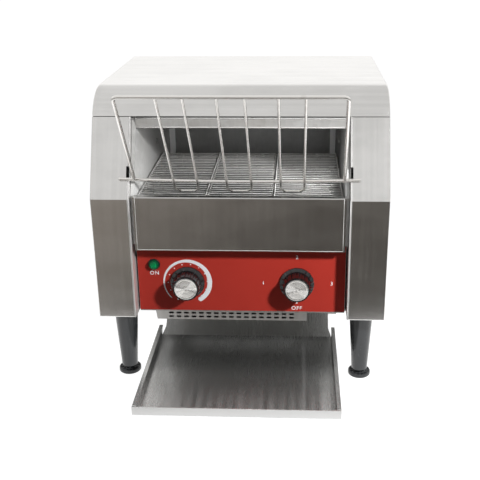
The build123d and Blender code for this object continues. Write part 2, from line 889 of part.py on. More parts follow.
def toothed_wheel(teeth, pitch_radius, valley_radius, tip_radius, bore_radius, thickness):
    """Wheel with a round valley for each wire or roller, its axis along X, middle at x = 0."""
    with BuildPart() as wheel:
        with BuildSketch(Plane.YZ.offset(-thickness / 2)):
            Circle(tip_radius)
            with PolarLocations(pitch_radius, teeth, start_angle=90):
                Circle(valley_radius, mode=Mode.SUBTRACT)
            Circle(bore_radius, mode=Mode.SUBTRACT)
        extrude(amount=thickness)
    return wheel.part


def belt_sprockets(shaft_y):
    """Row of belt sprockets on one shaft."""
    wheel = toothed_wheel(
        sprocket_teeth,
        sprocket_radius,
        belt_wire * 0.78,
        sprocket_radius + belt_wire / 3,
        shaft_radius + running_gap,
        sprocket_thickness,
    )
    with BuildPart() as row:
        outer_x = belt_half_width - outer_sprocket_inset
        for x in (-outer_x, -inner_sprocket_x, inner_sprocket_x, outer_x):
            with Locations((x, shaft_y, shaft_z)):
                add(wheel)
    return row.part


def shaft(y, z, radius, start_x, end_x):
    """Round shaft along X with chamfered ends."""
    with BuildPart() as rod:
        with BuildSketch(across(start_x, y, z)):
            Circle(radius)
        extrude(amount=end_x - start_x)
        chamfer(rod.edges().filter_by(GeomType.CIRCLE), length=radius / 8)
    return rod.part


bush_flange_thickness = 2.0
shaft_end = frame_half_width + bush_flange_thickness + 1.0
chain_end = chain_x + chain_wheel_thickness + 4.0
keep(shaft(front_shaft_y, shaft_z, shaft_radius, -shaft_end, shaft_end), "idler_shaft")
keep(shaft(rear_shaft_y, shaft_z, shaft_radius, -shaft_end, chain_end), "drive_shaft")
keep(belt_sprockets(front_shaft_y), "idler_sprockets")
keep(belt_sprockets(rear_shaft_y), "drive_sprockets")

# Flanged bushes of both shafts in both side frames
with BuildPart() as bush_shape:
    with BuildSketch(Plane.YZ.offset(frame_inner)):
        Circle(bushing_radius)
    extrude(amount=frame_sheet + bush_flange_thickness)
    with BuildSketch(Plane.YZ.offset(frame_half_width + running_gap)):
        Circle(bushing_flange)
    extrude(amount=bush_flange_thickness)
    with BuildSketch(Plane.YZ.offset(frame_inner)):
        Circle(shaft_radius + running_gap)
    extrude(amount=frame_sheet + 2 * bush_flange_thickness, mode=Mode.SUBTRACT)
with BuildPart() as shaft_bushes:
    for turn in (0, 180):
        for y, z in shaft_places:
            with Locations(Location((0, y, z), (0, 0, turn))):
                add(bush_shape.part)
keep(shaft_bushes.part, "shaft_bushes")

# ---------------------------------------------------------------- drive

gearbox_x = frame_inner - fit_gap
with BuildPart() as gear_motor:
    with BuildSketch(across(gearbox_x, motor_y, motor_z)):
        RectangleRounded(gearbox_size, gearbox_size, 5)
        Circle(motor_shaft_radius + running_gap, mode=Mode.SUBTRACT)
    extrude(amount=-gearbox_depth)
    with BuildSketch(across(gearbox_x - gearbox_depth, motor_y, motor_z)):
        Circle(motor_can_radius)
    extrude(amount=-motor_can_length)
    chamfer(gear_motor.faces().sort_by(Axis.X)[0].edges(), length=2)
keep(gear_motor.part, "gear_motor")

motor_shaft_start = gearbox_x - gearbox_depth + 1.0
keep(shaft(motor_y, motor_z, motor_shaft_radius, motor_shaft_start, chain_end), "motor_shaft")


def chain_wheel(teeth, pitch_radius, bore_radius, y, z):
    """Chain wheel at a shaft."""
    wheel = toothed_wheel(
        teeth,
        pitch_radius,
        chain_roller_radius,
        pitch_radius + chain_roller_radius / 2,
        bore_radius,
        chain_wheel_thickness,
    )
    return wheel.moved(Location((chain_x, y, z)))


keep(
    chain_wheel(motor_teeth, motor_wheel_radius, motor_shaft_radius + running_gap, motor_y, motor_z),
    "motor_sprocket",
)
keep(
    chain_wheel(
        driven_teeth, driven_wheel_radius, shaft_radius + running_gap, rear_shaft_y, shaft_z
    ),
    "driven_sprocket",
)


def chain_loop(extra):
    """Outline round both chain wheels, a distance outside their pitch circles."""
    with BuildSketch(Plane.YZ) as loop:
        with BuildLine():
            CenterArc((motor_y, motor_z), motor_wheel_radius + extra, 0, 360)
            CenterArc((rear_shaft_y, shaft_z), driven_wheel_radius + extra, 0, 360)
        make_hull()
    return loop.sketch_local


chain_y = rear_shaft_y - motor_y
chain_z = shaft_z - motor_z
chain_distance = (chain_y**2 + chain_z**2) ** 0.5
chain_lean = degrees(asin((driven_wheel_radius - motor_wheel_radius) / chain_distance))
chain_slope = degrees(atan2(chain_z, chain_y))
with BuildPart() as drive_chain:
    plate_start = chain_inner_width / 2
    for plane_x in (chain_x + plate_start, chain_x - plate_start - chain_plate):
        with BuildSketch(Plane.YZ.offset(plane_x)):
            add(chain_loop(chain_plate_width / 2))
            add(chain_loop(-chain_plate_width / 2), mode=Mode.SUBTRACT)
        extrude(amount=chain_plate)
    for side in (-1, 1):
        normal = radians(chain_slope + side * (90 + chain_lean))
        pin_count = int(chain_distance / chain_pitch) - 3
        for index in range(2, pin_count):
            along = index * chain_pitch
            wheel_share = along / chain_distance
            reach = motor_wheel_radius + (driven_wheel_radius - motor_wheel_radius) * wheel_share
            pin_y = motor_y + chain_y * wheel_share + reach * cos(normal)
            pin_z = motor_z + chain_z * wheel_share + reach * sin(normal)
            with Locations((chain_x, pin_y, pin_z)):
                Box(chain_inner_width + chain_plate, chain_roller_radius, chain_roller_radius)
keep(drive_chain.part, "drive_chain")

# ---------------------------------------------------------------- fan and electrics

with BuildPart() as fan_frame:
    with BuildSketch(Plane.XY.offset(deck_z + fit_gap)):
        with Locations((fan_x, fan_y)):
            RectangleRounded(fan_size, fan_size, 5)
            Circle(fan_duct_radius, mode=Mode.SUBTRACT)
    extrude(amount=fan_depth)
    with BuildSketch(Plane.XY.offset(deck_z + fit_gap)):
        with Locations((fan_x, fan_y)):
            Circle(fan_hub_radius + 1)
            with PolarLocations(0, 4):
                with Locations((fan_duct_radius / 2, 0)):
                    Rectangle(fan_duct_radius + 2, fan_strut)
    extrude(amount=fan_strut)
    with Locations((fan_x, fan_y, deck_z + fit_gap + fan_strut)):
        Cylinder(fan_pin_radius, fan_pin_length, align=(Align.CENTER, Align.CENTER, Align.MIN))
keep(fan_frame.part, "fan_frame")

rotor_z = deck_z + fit_gap + fan_strut + rotor_gap
with BuildPart() as fan_rotor:
    with BuildSketch(Plane.XY.offset(rotor_z)):
        with Locations((fan_x, fan_y)):
            Circle(fan_hub_radius)
            Circle(fan_pin_radius + running_gap, mode=Mode.SUBTRACT)
    extrude(amount=rotor_height)
    with Locations((fan_x, fan_y, rotor_z + rotor_height / 2)):
        with PolarLocations((fan_hub_radius + fan_tip_radius) / 2 - 1, fan_blades):
            Box(
                fan_tip_radius - fan_hub_radius + 2,
                fan_blade_thickness,
                rotor_height,
                rotation=(fan_blade_pitch, 0, 0),
            )
keep(fan_rotor.part, "fan_rotor")

# Control board on standoffs in front of the bulkhead
board_y = front_y + bulkhead_offset - board_inset
board_z = base_z + board_height
board_front = board_y - board_size[1] / 2
with BuildPart() as control_board:
    with Locations((board_x, board_y, board_z)):
        Box(*board_size)
    with Locations(*[(board_x + x, board_front, board_z + relay_rise) for x in relay_xs]):
        Box(*relay_size, align=(Align.CENTER, Align.MAX, Align.CENTER))
    with Locations((board_x + supply_x, board_front, board_z)):
        Box(*supply_size, align=(Align.CENTER, Align.MAX, Align.CENTER))
    standoff_places = [
        (board_x + x, board_y + board_size[1] / 2, board_z + rise)
        for x in standoff_xs
        for rise in standoff_rises
    ]
    with Locations(*standoff_places):
        Box(
            standoff_size,
            standoff_length - board_size[1] / 2,
            standoff_size,
            align=(Align.CENTER, Align.MIN, Align.CENTER),
        )
keep(control_board.part, "control_board")

# Terminal block beside the cable inlet
with BuildPart() as terminal_block:
    block_y = rear_y - block_inset
    block_z = floor_z + fit_gap / 2
    with Locations((cable_x, block_y, block_z)):
        Box(*block_size, align=(Align.CENTER, Align.CENTER, Align.MIN))
    chamfer(terminal_block.edges().filter_by(Axis.Y).group_by(Axis.Z)[-1], length=block_chamfer)
    with Locations((cable_x, block_y, block_z + block_size[2])):
        with GridLocations(0, terminal_pitch, 1, terminal_count):
            Box(*terminal_size, mode=Mode.SUBTRACT)
keep(terminal_block.part, "terminal_block")


def control_body(x, depth, is_square):
    """Body of a panel control with its threaded bush, bored for the spindle."""
    with BuildPart() as body:
        with BuildSketch(facing(x, panel_rear_y, knob_z)):
            if is_square:
                RectangleRounded(switch_body_size, switch_body_size, 3)
            else:
                Circle(dial_body_radius)
        extrude(amount=-depth)
        with BuildSketch(facing(x, panel_rear_y, knob_z)):
            Circle(bush_radius)
        extrude(amount=panel_rear_y - panel_y + knob_standoff + nut_thickness + 1)
        with BuildSketch(facing(x, panel_y - 10, knob_z)):
            Circle(spindle_radius + running_gap)
        extrude(amount=-(10 + panel_rear_y - panel_y + depth - 3), mode=Mode.SUBTRACT)
    return body.part


keep(control_body(dial_x, dial_body_depth, False), "speed_potentiometer")
keep(control_body(selector_x, switch_body_depth, True), "selector_switch")

with BuildPart() as panel_nuts:
    with BuildSketch(Plane.XZ.offset(-panel_y)):
        with Locations((dial_x, knob_z), (selector_x, knob_z)):
            RegularPolygon(nut_across_flats / 2, 6, major_radius=False)
            Circle(bush_radius + running_gap, mode=Mode.SUBTRACT)
    extrude(amount=nut_thickness)
keep(panel_nuts.part, "panel_nuts")

# ---------------------------------------------------------------- lamp and knobs


def turned(points, x, z):
    """Body turned about a Y axis at the panel face: points are (radius, height in front)."""
    with BuildPart() as body:
        with BuildSketch(Plane.XY):
            with BuildLine():
                Polyline(*[(radius, -height) for radius, height in points], close=True)
            make_face()
        revolve(axis=Axis.Y)
    return body.part.moved(Location((x, panel_y, z)))


lamp_z = base_z + lamp_height
lamp_bezel = turned(
    (
        (0, -lamp_body_depth),
        (lamp_body_radius, -lamp_body_depth),
        (lamp_body_radius, 0.1),
        (bezel_radius, 0.1),
        (bezel_radius, 1.2),
        (bezel_radius - 0.6, 1.8),
        (0, 1.8),
    ),
    lamp_x,
    lamp_z,
)
keep(lamp_bezel, "lamp_bezel")
lamp_lens = turned(
    (
        (0, 1.9),
        (lens_radius, 1.9),
        (lens_radius, 3.4),
        (lens_radius * 0.85, 4.7),
        (lens_radius * 0.5, 5.6),
        (0, 6.0),
    ),
    lamp_x,
    lamp_z,
)
keep(lamp_lens, "lamp_lens")

spindle_front = 16.0
hollow_radius = nut_across_flats / 2 + 2.5
hollow_height = knob_standoff + nut_thickness + 2.6
rim_height = knob_length - 0.4


def knob(x, pointer_angle):
    """Skirted knob, hollow underneath for the nut, with a raised pointer down its grip."""
    grip = turned(
        (
            (spindle_radius + running_gap, hollow_height),
            (hollow_radius, hollow_height),
            (hollow_radius, knob_standoff),
            (skirt_radius, knob_standoff),
            (skirt_radius, skirt_height),
            (skirt_radius - 1.8, skirt_height + 1.0),
            (grip_foot_radius, skirt_height + 2.4),
            (grip_top_radius, rim_height - 1.4),
            (grip_top_radius - 0.8, rim_height),
            (cap_radius + 0.1, rim_height),
            (cap_radius + 0.1, knob_length - cap_thickness),
            (0, knob_length - cap_thickness),
            (0, spindle_front),
            (spindle_radius + running_gap, spindle_front),
        ),
        x,
        knob_z,
    )
    with BuildPart() as whole:
        add(grip)
        pointer_length = rim_height - skirt_height - 3
        with Locations(Location((x, panel_y, knob_z), (0, pointer_angle, 0))):
            with Locations((0, -rim_height + 0.1 + pointer_length / 2, grip_top_radius)):
                Box(pointer_width, pointer_length, 2.0)
    return whole.part


def knob_cap(x):
    """Thin aluminium disc in the top of a knob."""
    return turned(
        (
            (0, knob_length - cap_thickness + 0.05),
            (cap_radius, knob_length - cap_thickness + 0.05),
            (cap_radius, knob_length - 0.4),
            (cap_radius - 0.4, knob_length),
            (0, knob_length),
        ),
        x,
        knob_z,
    )


def spindle(x, depth):
    """Spindle between a knob and the body of its control."""
    inner_end = panel_rear_y - panel_y + depth - 3.2
    return turned(
        (
            (0, -inner_end),
            (spindle_radius, -inner_end),
            (spindle_radius, spindle_front - 0.1),
            (0, spindle_front - 0.1),
        ),
        x,
        knob_z,
    )


keep(knob(dial_x, dial_pointer_angle), "speed_knob")
keep(knob_cap(dial_x), "speed_knob_cap")
keep(spindle(dial_x, dial_body_depth), "speed_spindle")
keep(knob(selector_x, selector_pointer_angle), "selector_knob")
keep(knob_cap(selector_x), "selector_knob_cap")
keep(spindle(selector_x, switch_body_depth), "selector_spindle")

# ---------------------------------------------------------------- loading rack


def rack_wire(points, corner_radius, wire):
    """Round wire bent along a path."""
    with BuildPart() as rod:
        with BuildLine() as path:
            if corner_radius:
                FilletPolyline(*points, radius=corner_radius)
            else:
                Polyline(*points)
        with BuildSketch(Plane(origin=path.line @ 0, z_dir=path.line % 0)):
            Circle(wire / 2)
        sweep(transition=Transition.RIGHT)
    return rod.part


def bowed_wire(half_span, y, z, sag, wire):
    """Straight-looking cross wire that bows down along the rack by its sag."""
    slope = atan2(rack_top_z - rack_low_z, rack_low_y - rack_top_y)
    with BuildPart() as rod:
        with BuildLine() as path:
            ThreePointArc(
                (-half_span, y, z),
                (0, y + sag * cos(slope), z - sag * sin(slope)),
                (half_span, y, z),
            )
        with BuildSketch(Plane(origin=path.line @ 0, z_dir=path.line % 0)):
            Circle(wire / 2)
        sweep()
    return rod.part


with BuildPart() as loading_rack:
    rack_low_x = frame_half_width - rack_low_inset
    rack_top_x = frame_half_width - rack_top_inset
    rack_length = ((rack_top_z - rack_low_z) ** 2 + (rack_low_y - rack_top_y) ** 2) ** 0.5
    lean_y = (rack_low_y - rack_top_y) / rack_length
    lean_z = (rack_top_z - rack_low_z) / rack_length
    add(
        rack_wire(
            (
                (-rack_low_x, rack_low_y, rack_low_z),
                (-rack_top_x, rack_top_y, rack_top_z),
                (rack_top_x, rack_top_y, rack_top_z),
                (rack_low_x, rack_low_y, rack_low_z),
            ),
            rack_corner_radius,
            rack_frame_wire,
        )
    )
    rack_end_x = block_inner + rack_end_overlap
    add(bowed_wire(rack_end_x, rack_low_y, rack_low_z, rack_low_sag, rack_frame_wire))
    under = (rack_frame_wire + rack_bar_wire) / 2 - rack_weld_depth
    under_y = under * lean_z
    under_z = under * lean_y
    kink_y = front_y + rack_kink_offset
    kink_z = base_z + rack_kink_height
    foot_y = front_y + rack_foot_offset
    foot_z = base_z + rack_foot_height
    bar_top_y = rack_top_y + under_y - lean_y * rack_bar_overlap
    bar_top_z = rack_top_z - under_z + lean_z * rack_bar_overlap
    for left_x, right_x in rack_pairs:
        add(
            rack_wire(
                (
                    (left_x, bar_top_y, bar_top_z),
                    (left_x, kink_y, kink_z),
                    (left_x + rack_foot_inset, foot_y, foot_z),
                    (right_x - rack_foot_inset, foot_y, foot_z),
                    (right_x, kink_y, kink_z),
                    (right_x, bar_top_y, bar_top_z),
                ),
                0,
                rack_bar_wire,
            )
        )
keep(loading_rack.part, "loading_rack")

# ---------------------------------------------------------------- tray and hanger

tray_front_y = -overall_depth / 2 + tray_wall * sin(radians(tray_tilt))
tray_plane = Plane(
    origin=(0, tray_front_y, tray_low_height),
    x_dir=(1, 0, 0),
    z_dir=(0, -sin(radians(tray_tilt)), cos(radians(tray_tilt))),
)
tray_rear = tray_floor_length
ramp_turn = slide_angle - tray_tilt

with BuildPart() as tray_shape:
    with BuildSketch(Plane.XZ.offset(-tray_corner_gap - 2 * tray_sheet)) as section:
        with BuildLine():
            Polyline(
                (0, 0),
                (tray_inner_half_width + tray_sheet, 0),
                (tray_inner_half_width + tray_sheet, tray_wall - tray_sheet),
                (tray_half_width - tray_sheet, tray_wall - tray_sheet),
                (tray_half_width - tray_sheet, tray_wall - tray_hem),
                (tray_half_width, tray_wall - tray_hem),
                (tray_half_width, tray_wall),
                (tray_inner_half_width, tray_wall),
                (tray_inner_half_width, tray_sheet),
                (0, tray_sheet),
                close=True,
            )
        make_face()
        mirror(about=Plane.YZ)
    extrude(amount=-(tray_rear + tray_point - tray_corner_gap - 2 * tray_sheet))
    with BuildSketch(Plane.YZ.offset(-tray_half_width - 1)):
        with BuildLine():
            Polyline(
                (tray_rear, -1),
                (tray_rear, tray_sheet),
                (tray_rear + tray_point, tray_wall + 0.1),
                (tray_rear + 2 * tray_point, tray_wall + 0.1),
                (tray_rear + 2 * tray_point, -1),
                close=True,
            )
        make_face()
    extrude(amount=2 * tray_half_width + 2, mode=Mode.SUBTRACT)
    with BuildSketch(Plane.XY):
        with Locations((0, (tray_corner_gap + 3 * tray_sheet) / 2)):
            Rectangle(2 * (tray_inner_half_width - tray_sheet), tray_corner_gap + 3 * tray_sheet)
    extrude(amount=tray_sheet)
    with BuildSketch(Plane.XY):
        with Locations((0, tray_sheet)):
            Rectangle(2 * tray_half_width, 2 * tray_sheet)
    extrude(amount=tray_wall)
    fillet(tray_shape.faces().sort_by(Axis.Y)[0].edges().filter_by(Axis.X), radius=0.6)
    ramp_plane = Plane(
        origin=(0, tray_rear, 0),
        x_dir=(1, 0, 0),
        z_dir=(0, -sin(radians(ramp_turn)), cos(radians(ramp_turn))),
    )
    with BuildSketch(ramp_plane):
        with BuildLine():
            Polyline(
                (-tray_inner_half_width, 0),
                (tray_inner_half_width, 0),
                (tray_inner_half_width - ramp_inset, ramp_neck),
                (tray_inner_half_width - ramp_inset, ramp_length),
                (ramp_inset - tray_inner_half_width, ramp_length),
                (ramp_inset - tray_inner_half_width, ramp_neck),
                close=True,
            )
        make_face()
    extrude(amount=tray_sheet)
keep(tray_plane.from_local_coords(tray_shape.part), "tray")

hanger_half_width = tray_half_width + hanger_side_gap + hanger_sheet
hanger_arm_x = tray_half_width - hanger_arm_inset
hanger_y = front_y + hanger_offset + hanger_width / 2
hanger_along = (hanger_y - tray_front_y) / cos(radians(tray_tilt))
hanger_low_z = tray_low_height + (hanger_y - tray_front_y) * tan(radians(tray_tilt))
with BuildPart() as tray_hanger:
    with BuildSketch(tray_plane.offset(-fit_gap)):
        with Locations((0, hanger_along)):
            Rectangle(2 * hanger_half_width, hanger_width)
        arm_middle = hanger_along + hanger_width / 2 - hanger_arm_length / 2
        with Locations((-hanger_arm_x, arm_middle), (hanger_arm_x, arm_middle)):
            Rectangle(hanger_width, hanger_arm_length)
    extrude(amount=-hanger_sheet)
    cheek_low = hanger_low_z - fit_gap - hanger_sheet / 2
    cheek_height = floor_z - fit_gap - cheek_low
    cheek_x = hanger_half_width - hanger_sheet / 2
    with Locations((-cheek_x, hanger_y, cheek_low), (cheek_x, hanger_y, cheek_low)):
        Box(
            hanger_sheet,
            hanger_width,
            cheek_height,
            align=(Align.CENTER, Align.CENTER, Align.MIN),
        )
keep(tray_hanger.part, "tray_hanger")

# ---------------------------------------------------------------- screws


with BuildPart() as screw_head:
    with BuildSketch(Plane.XY):
        Circle(screw_head_radius)
    extrude(amount=screw_head_height)
    chamfer(screw_head.edges().group_by(Axis.Z)[-1], length=screw_head_height / 4)
    with BuildSketch(Plane.XY.offset(screw_head_height)):
        Rectangle(screw_recess_length, screw_recess_width)
        Rectangle(screw_recess_width, screw_recess_length)
    extrude(amount=-screw_recess_depth, mode=Mode.SUBTRACT)


def screws(places, direction):
    """Pan-head screws: each place is (x, y, z) on the face, the head points along direction."""
    with BuildPart() as group:
        for place in places:
            with Locations(Plane(origin=place, z_dir=direction)):
                add(screw_head.part)
    return group.part


flange_screw_x = half_width - flange_width / 2
back_screw_places = []
screw_spacing = (seam_z - base_z - 2 * back_screw_margin) / (back_screw_rows - 1)
for x in (-flange_screw_x, flange_screw_x):
    for row in range(back_screw_rows):
        screw_z = base_z + back_screw_margin + row * screw_spacing
        back_screw_places.append((x, rear_y, screw_z))
keep(screws(back_screw_places, (0, 1, 0)), "back_screws")

frame_screw_places = ((180.0, 189.0), (180.0, 225.0), (250.0, 189.0), (250.0, 225.0))
with BuildPart() as frame_screws:
    for side in (-1, 1):
        side_places = []
        for screw_offset, screw_height in frame_screw_places:
            screw_x = side * (frame_inner - running_gap)
            side_places.append((screw_x, front_y + screw_offset, base_z + screw_height))
        add(screws(side_places, (-side, 0, 0)))
keep(frame_screws.part, "frame_screws")
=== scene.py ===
from math import cos, pi, radians, sin

import bmesh
import bpy
import numpy as np
from mathutils import Matrix, Vector


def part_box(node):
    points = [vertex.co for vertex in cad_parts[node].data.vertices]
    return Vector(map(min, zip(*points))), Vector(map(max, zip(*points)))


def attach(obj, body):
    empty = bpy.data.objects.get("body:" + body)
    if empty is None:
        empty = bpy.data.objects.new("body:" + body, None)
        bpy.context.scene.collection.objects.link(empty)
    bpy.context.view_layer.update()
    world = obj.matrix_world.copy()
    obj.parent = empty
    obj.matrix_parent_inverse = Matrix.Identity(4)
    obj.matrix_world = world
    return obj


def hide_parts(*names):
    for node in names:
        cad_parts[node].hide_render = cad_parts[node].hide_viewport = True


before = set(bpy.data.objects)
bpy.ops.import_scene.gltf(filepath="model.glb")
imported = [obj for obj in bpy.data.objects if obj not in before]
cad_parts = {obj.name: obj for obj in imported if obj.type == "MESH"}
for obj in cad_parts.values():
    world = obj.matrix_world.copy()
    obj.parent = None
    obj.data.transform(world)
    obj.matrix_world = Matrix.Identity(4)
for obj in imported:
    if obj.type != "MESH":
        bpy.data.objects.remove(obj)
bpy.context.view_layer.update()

# ------------------------------------------------------------------ legs and levelling feet
# Four tapered legs moulded in glossy black plastic, each with a levelling foot whose rubber-like
# disc stands on the table and whose stem screws up into the leg.


class Tap:
    """A socket of a shader tree. + - * / ** put a Math node after it, node() any other kind."""

    def __init__(self, tree, socket=None):
        self.tree = tree
        self.socket = socket

    def node(self, kind, settings=None, sockets=None, out=0):
        """Adds a node: its settings first, then the values or taps of its sockets."""
        made = self.tree.nodes.new("ShaderNode" + kind)
        for name, value in (settings or {}).items():
            setattr(made, name, value)
        for name, value in (sockets or {}).items():
            if isinstance(value, Tap):
                self.tree.links.new(value.socket, made.inputs[name])
            else:
                made.inputs[name].default_value = value
        return Tap(self.tree, made.outputs[out]) if made.outputs else None

    def maths(self, operation, other=0.0, turned_round=False):
        """Math node of this and the other value, or of the other and this when turned round."""
        first, second = (other, self) if turned_round else (self, other)
        return self.node("Math", {"operation": operation}, {0: first, 1: second})

    def __add__(self, other):
        return self.maths("ADD", other)

    def __radd__(self, other):
        return self.maths("ADD", other, True)

    def __sub__(self, other):
        return self.maths("SUBTRACT", other)

    def __rsub__(self, other):
        return self.maths("SUBTRACT", other, True)

    def __mul__(self, other):
        return self.maths("MULTIPLY", other)

    def __rmul__(self, other):
        return self.maths("MULTIPLY", other, True)

    def __truediv__(self, other):
        return self.maths("DIVIDE", other)

    def __rtruediv__(self, other):
        return self.maths("DIVIDE", other, True)

    def __pow__(self, other):
        return self.maths("POWER", other)

    def __rpow__(self, other):
        return self.maths("POWER", other, True)

    def size(self):
        """The value without its sign."""
        return self.maths("ABSOLUTE")

    def axis(self, letter):
        """The X, Y or Z of this vector."""
        return self.node("SeparateXYZ", sockets={0: self}, out=letter)

    def ease(self, low, high):
        """0 below low, 1 above high, smooth between them."""
        settings = {"interpolation_type": "SMOOTHSTEP"}
        return self.node("MapRange", settings, {0: self, 1: low, 2: high})

    def blend(self, low, high):
        """Colour low where this is 0, colour high where it is 1."""
        sides = {
            name: shade if isinstance(shade, Tap) else tuple(shade) + (1.0,)
            for name, shade in ((6, low), (7, high))
        }
        return self.node("Mix", {"data_type": "RGBA"}, {0: self, **sides}, out=2)


def finish(name, nodes, sheen, **constants):
    """New material on the named CAD nodes.

    sheen(tap) gives the shader's varying inputs. The constants are named as its sockets are, in
    small letters.
    """
    material = bpy.data.materials.new(name)
    material.use_nodes = True
    tree = material.node_tree
    tree.nodes.clear()
    tap = Tap(tree)
    values = {
        key.replace("_", " ").title().replace("Ior", "IOR"): value
        for key, value in constants.items()
    }
    values.update(sheen(tap))
    skin = tap.node("BsdfPrincipled", sockets=values)
    tap.node("OutputMaterial", sockets={"Surface": skin})
    for node in nodes:
        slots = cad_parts[node].data.materials
        slots.clear()
        slots.append(material)
    return material


def place(tap):
    """Object coordinates, in metres."""
    return tap.node("TexCoord", out="Object")


def mottle(where, scale, detail=3.0, roughness=0.55, stretch=None):
    """Soft noise from 0 to 1 of so many spots a metre, stretched by a scale for each axis."""
    if stretch:
        where = where.node("VectorMath", {"operation": "MULTIPLY"}, {0: where, 1: stretch})
    sockets = {"Vector": where, "Scale": scale, "Detail": detail, "Roughness": roughness}
    return where.node("TexNoise", sockets=sockets)


def dent(height, depth, over=None):
    """Bump of so many metres from a height of 0 to 1, over another bump or the bare surface."""
    sockets = {"Height": height, "Distance": depth}
    if over:
        sockets["Normal"] = over
    return height.node("Bump", sockets=sockets)


def moulded_black(dark, light, rough, grain):
    """Moulded plastic: faint cloudy tone, flow marks and a fine spark-eroded grain."""

    def sheen(tap):
        where = place(tap)
        cloud = mottle(where, 35.0)
        fine = mottle(where, 1800.0, 1.0)
        scuff = mottle(where, 160.0, 4.0, 0.7, (1.0, 1.0, 0.25)).ease(0.55, 0.75)
        return {
            "Base Color": cloud.blend(dark, light),
            "Roughness": rough + 0.10 * scuff + 0.05 * cloud,
            "Normal": dent(fine, grain, over=dent(cloud, 0.0003)),
        }

    return sheen


corners = ("front_left", "front_right", "rear_left", "rear_right")
finish(
    "leg_gloss_black",
    ["leg_" + corner for corner in corners],
    moulded_black((0.018, 0.020, 0.022), (0.032, 0.035, 0.038), 0.20, 0.000004),
    coat_weight=0.4,
    coat_roughness=0.08,
)
foot_black = finish(
    "foot_black_rubber",
    ["foot_" + corner for corner in corners],
    moulded_black((0.028, 0.030, 0.032), (0.050, 0.052, 0.055), 0.34, 0.00001),
)


def surface(name, points, faces, material, body):
    """Mesh piece from an array of points and an array of faces, riding on a body."""
    mesh = bpy.data.meshes.new(name)
    corner_points = np.asarray(points).reshape(-1, 3).tolist()
    mesh.from_pydata(corner_points, [], [list(face) for face in faces])
    mesh.materials.append(material)
    mesh.validate()
    piece = bpy.data.objects.new(name, mesh)
    bpy.context.scene.collection.objects.link(piece)
    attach(piece, body)
    return piece


def ring_faces(rings, sides):
    """Quads from each closed ring of points to the next one, its last point joined to its first."""
    ring = np.arange(rings - 1)[:, None] * sides
    side = np.arange(sides)[None, :]
    after = (side + 1) % sides
    quads = [ring + side, ring + after, ring + sides + after, ring + sides + side]
    return np.stack(quads, -1).reshape(-1, 4)


def ribbed_foot(middle_x, middle_y, sectors=96, ribs=12, rib_height=0.0020):
    """Disc with a raised rim, ribs in the groove behind it, a neck and a stem.

    A profile of radius, height and share is turned round the vertical line through the middle. The
    height also rises by the share of the rib height, times a rounded square wave with one wave for
    each rib in the angle.
    """
    profile = np.array(
        [
            (0.0137, 0.0, 0.0),
            (0.0147, 0.0010, 0.0),
            (0.0147, 0.0048, 0.0),
            (0.0142, 0.0056, 0.0),
            (0.0132, 0.0056, 0.0),
            (0.0128, 0.0050, 0.2),
            (0.0126, 0.0030, 1.0),
            (0.0084, 0.0030, 1.0),
            (0.0080, 0.0050, 0.2),
            (0.0070, 0.0056, 0.0),
            (0.0070, 0.0088, 0.0),
            (0.0040, 0.0088, 0.0),
            (0.0040, 0.0386, 0.0),
        ]
    )
    radius, height, share = profile[:, :1], profile[:, 1:2], profile[:, 2:3]
    angle = np.linspace(0.0, 2 * pi, sectors, endpoint=False)
    wave = np.clip(0.5 + 2.5 * np.cos(ribs * angle), 0.0, 1.0)
    height = height + rib_height * share * wave[None, :]
    x, y = middle_x + radius * np.cos(angle), middle_y + radius * np.sin(angle)
    bottom = np.arange(sectors)[::-1]
    top = (len(profile) - 1) * sectors + np.arange(sectors)
    return np.stack([x, y, height], -1), list(ring_faces(len(profile), sectors)) + [bottom, top]


for corner in corners:
    foot_low, foot_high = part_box("foot_" + corner)
    foot_middle = (foot_low + foot_high) / 2
    foot_points, foot_faces = ribbed_foot(foot_middle.x, foot_middle.y)
    ribbed = surface(
        "ribbed_foot_" + corner, foot_points, foot_faces, foot_black, "foot_body_" + corner
    )
    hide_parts("foot_" + corner)

# ------------------------------------------------------------------ base, tunnel and hood
# Pressings of zinc-coated steel, folded and screwed: base plate, bulkhead, control panel, tray
# hanger, reflector, side frames of the tunnel, hood and toast slide. The heaters have browned the
# sheet near the tubes, and painted shade darkens the tunnel walls towards the rear and the top.


def zinc_sheet(tone, heat=0.0):
    """Spangled zinc: flat cells a few millimetres wide, soft rolling marks, a brown heat tint."""

    def sheen(tap):
        where = place(tap)
        spangle = where.node("TexVoronoi", sockets={"Vector": where, "Scale": 140.0}, out="Color")
        cell = spangle.node("SeparateColor", sockets={0: spangle})
        cloud = mottle(where, 14.0, 4.0)
        rolled = mottle(where, 60.0, 3.0, 0.6, (6.0, 0.6, 0.6))
        warm = heat * where.axis("Z").ease(0.24, 0.36) * cloud.ease(0.35, 0.7)
        low = (0.78 * tone, 0.78 * tone, 0.76 * tone)
        high = (1.05 * tone, 1.05 * tone, 1.04 * tone)
        plain = (0.35 * cell + 0.65 * rolled).blend(low, high)
        return {
            "Base Color": warm.blend(plain, (0.42 * tone, 0.33 * tone, 0.24 * tone)),
            "Roughness": 0.30 + 0.12 * cell + 0.12 * cloud,
            "Normal": dent(rolled, 0.00002, over=dent(cloud, 0.0004)),
        }

    return sheen


def tunnel_wall(tap):
    """Spangled zinc, heat-tinted, with painted shade darkening it towards the rear and the top."""
    where = place(tap)
    values = zinc_sheet(0.98, 0.25)(tap)
    # Painted shade: darker towards the rear and the top of the tunnel.
    painted_depth_shade = 0.80 * where.axis("Y").ease(-0.075, 0.09) + 0.25 * where.axis("Z").ease(0.27, 0.34)
    values["Base Color"] = painted_depth_shade.blend(values["Base Color"], (0.16, 0.155, 0.15))
    return values


slide_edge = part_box("toast_slide")[1].x
slide_strip_width = 0.0084
slide_strip_bottom = 0.200


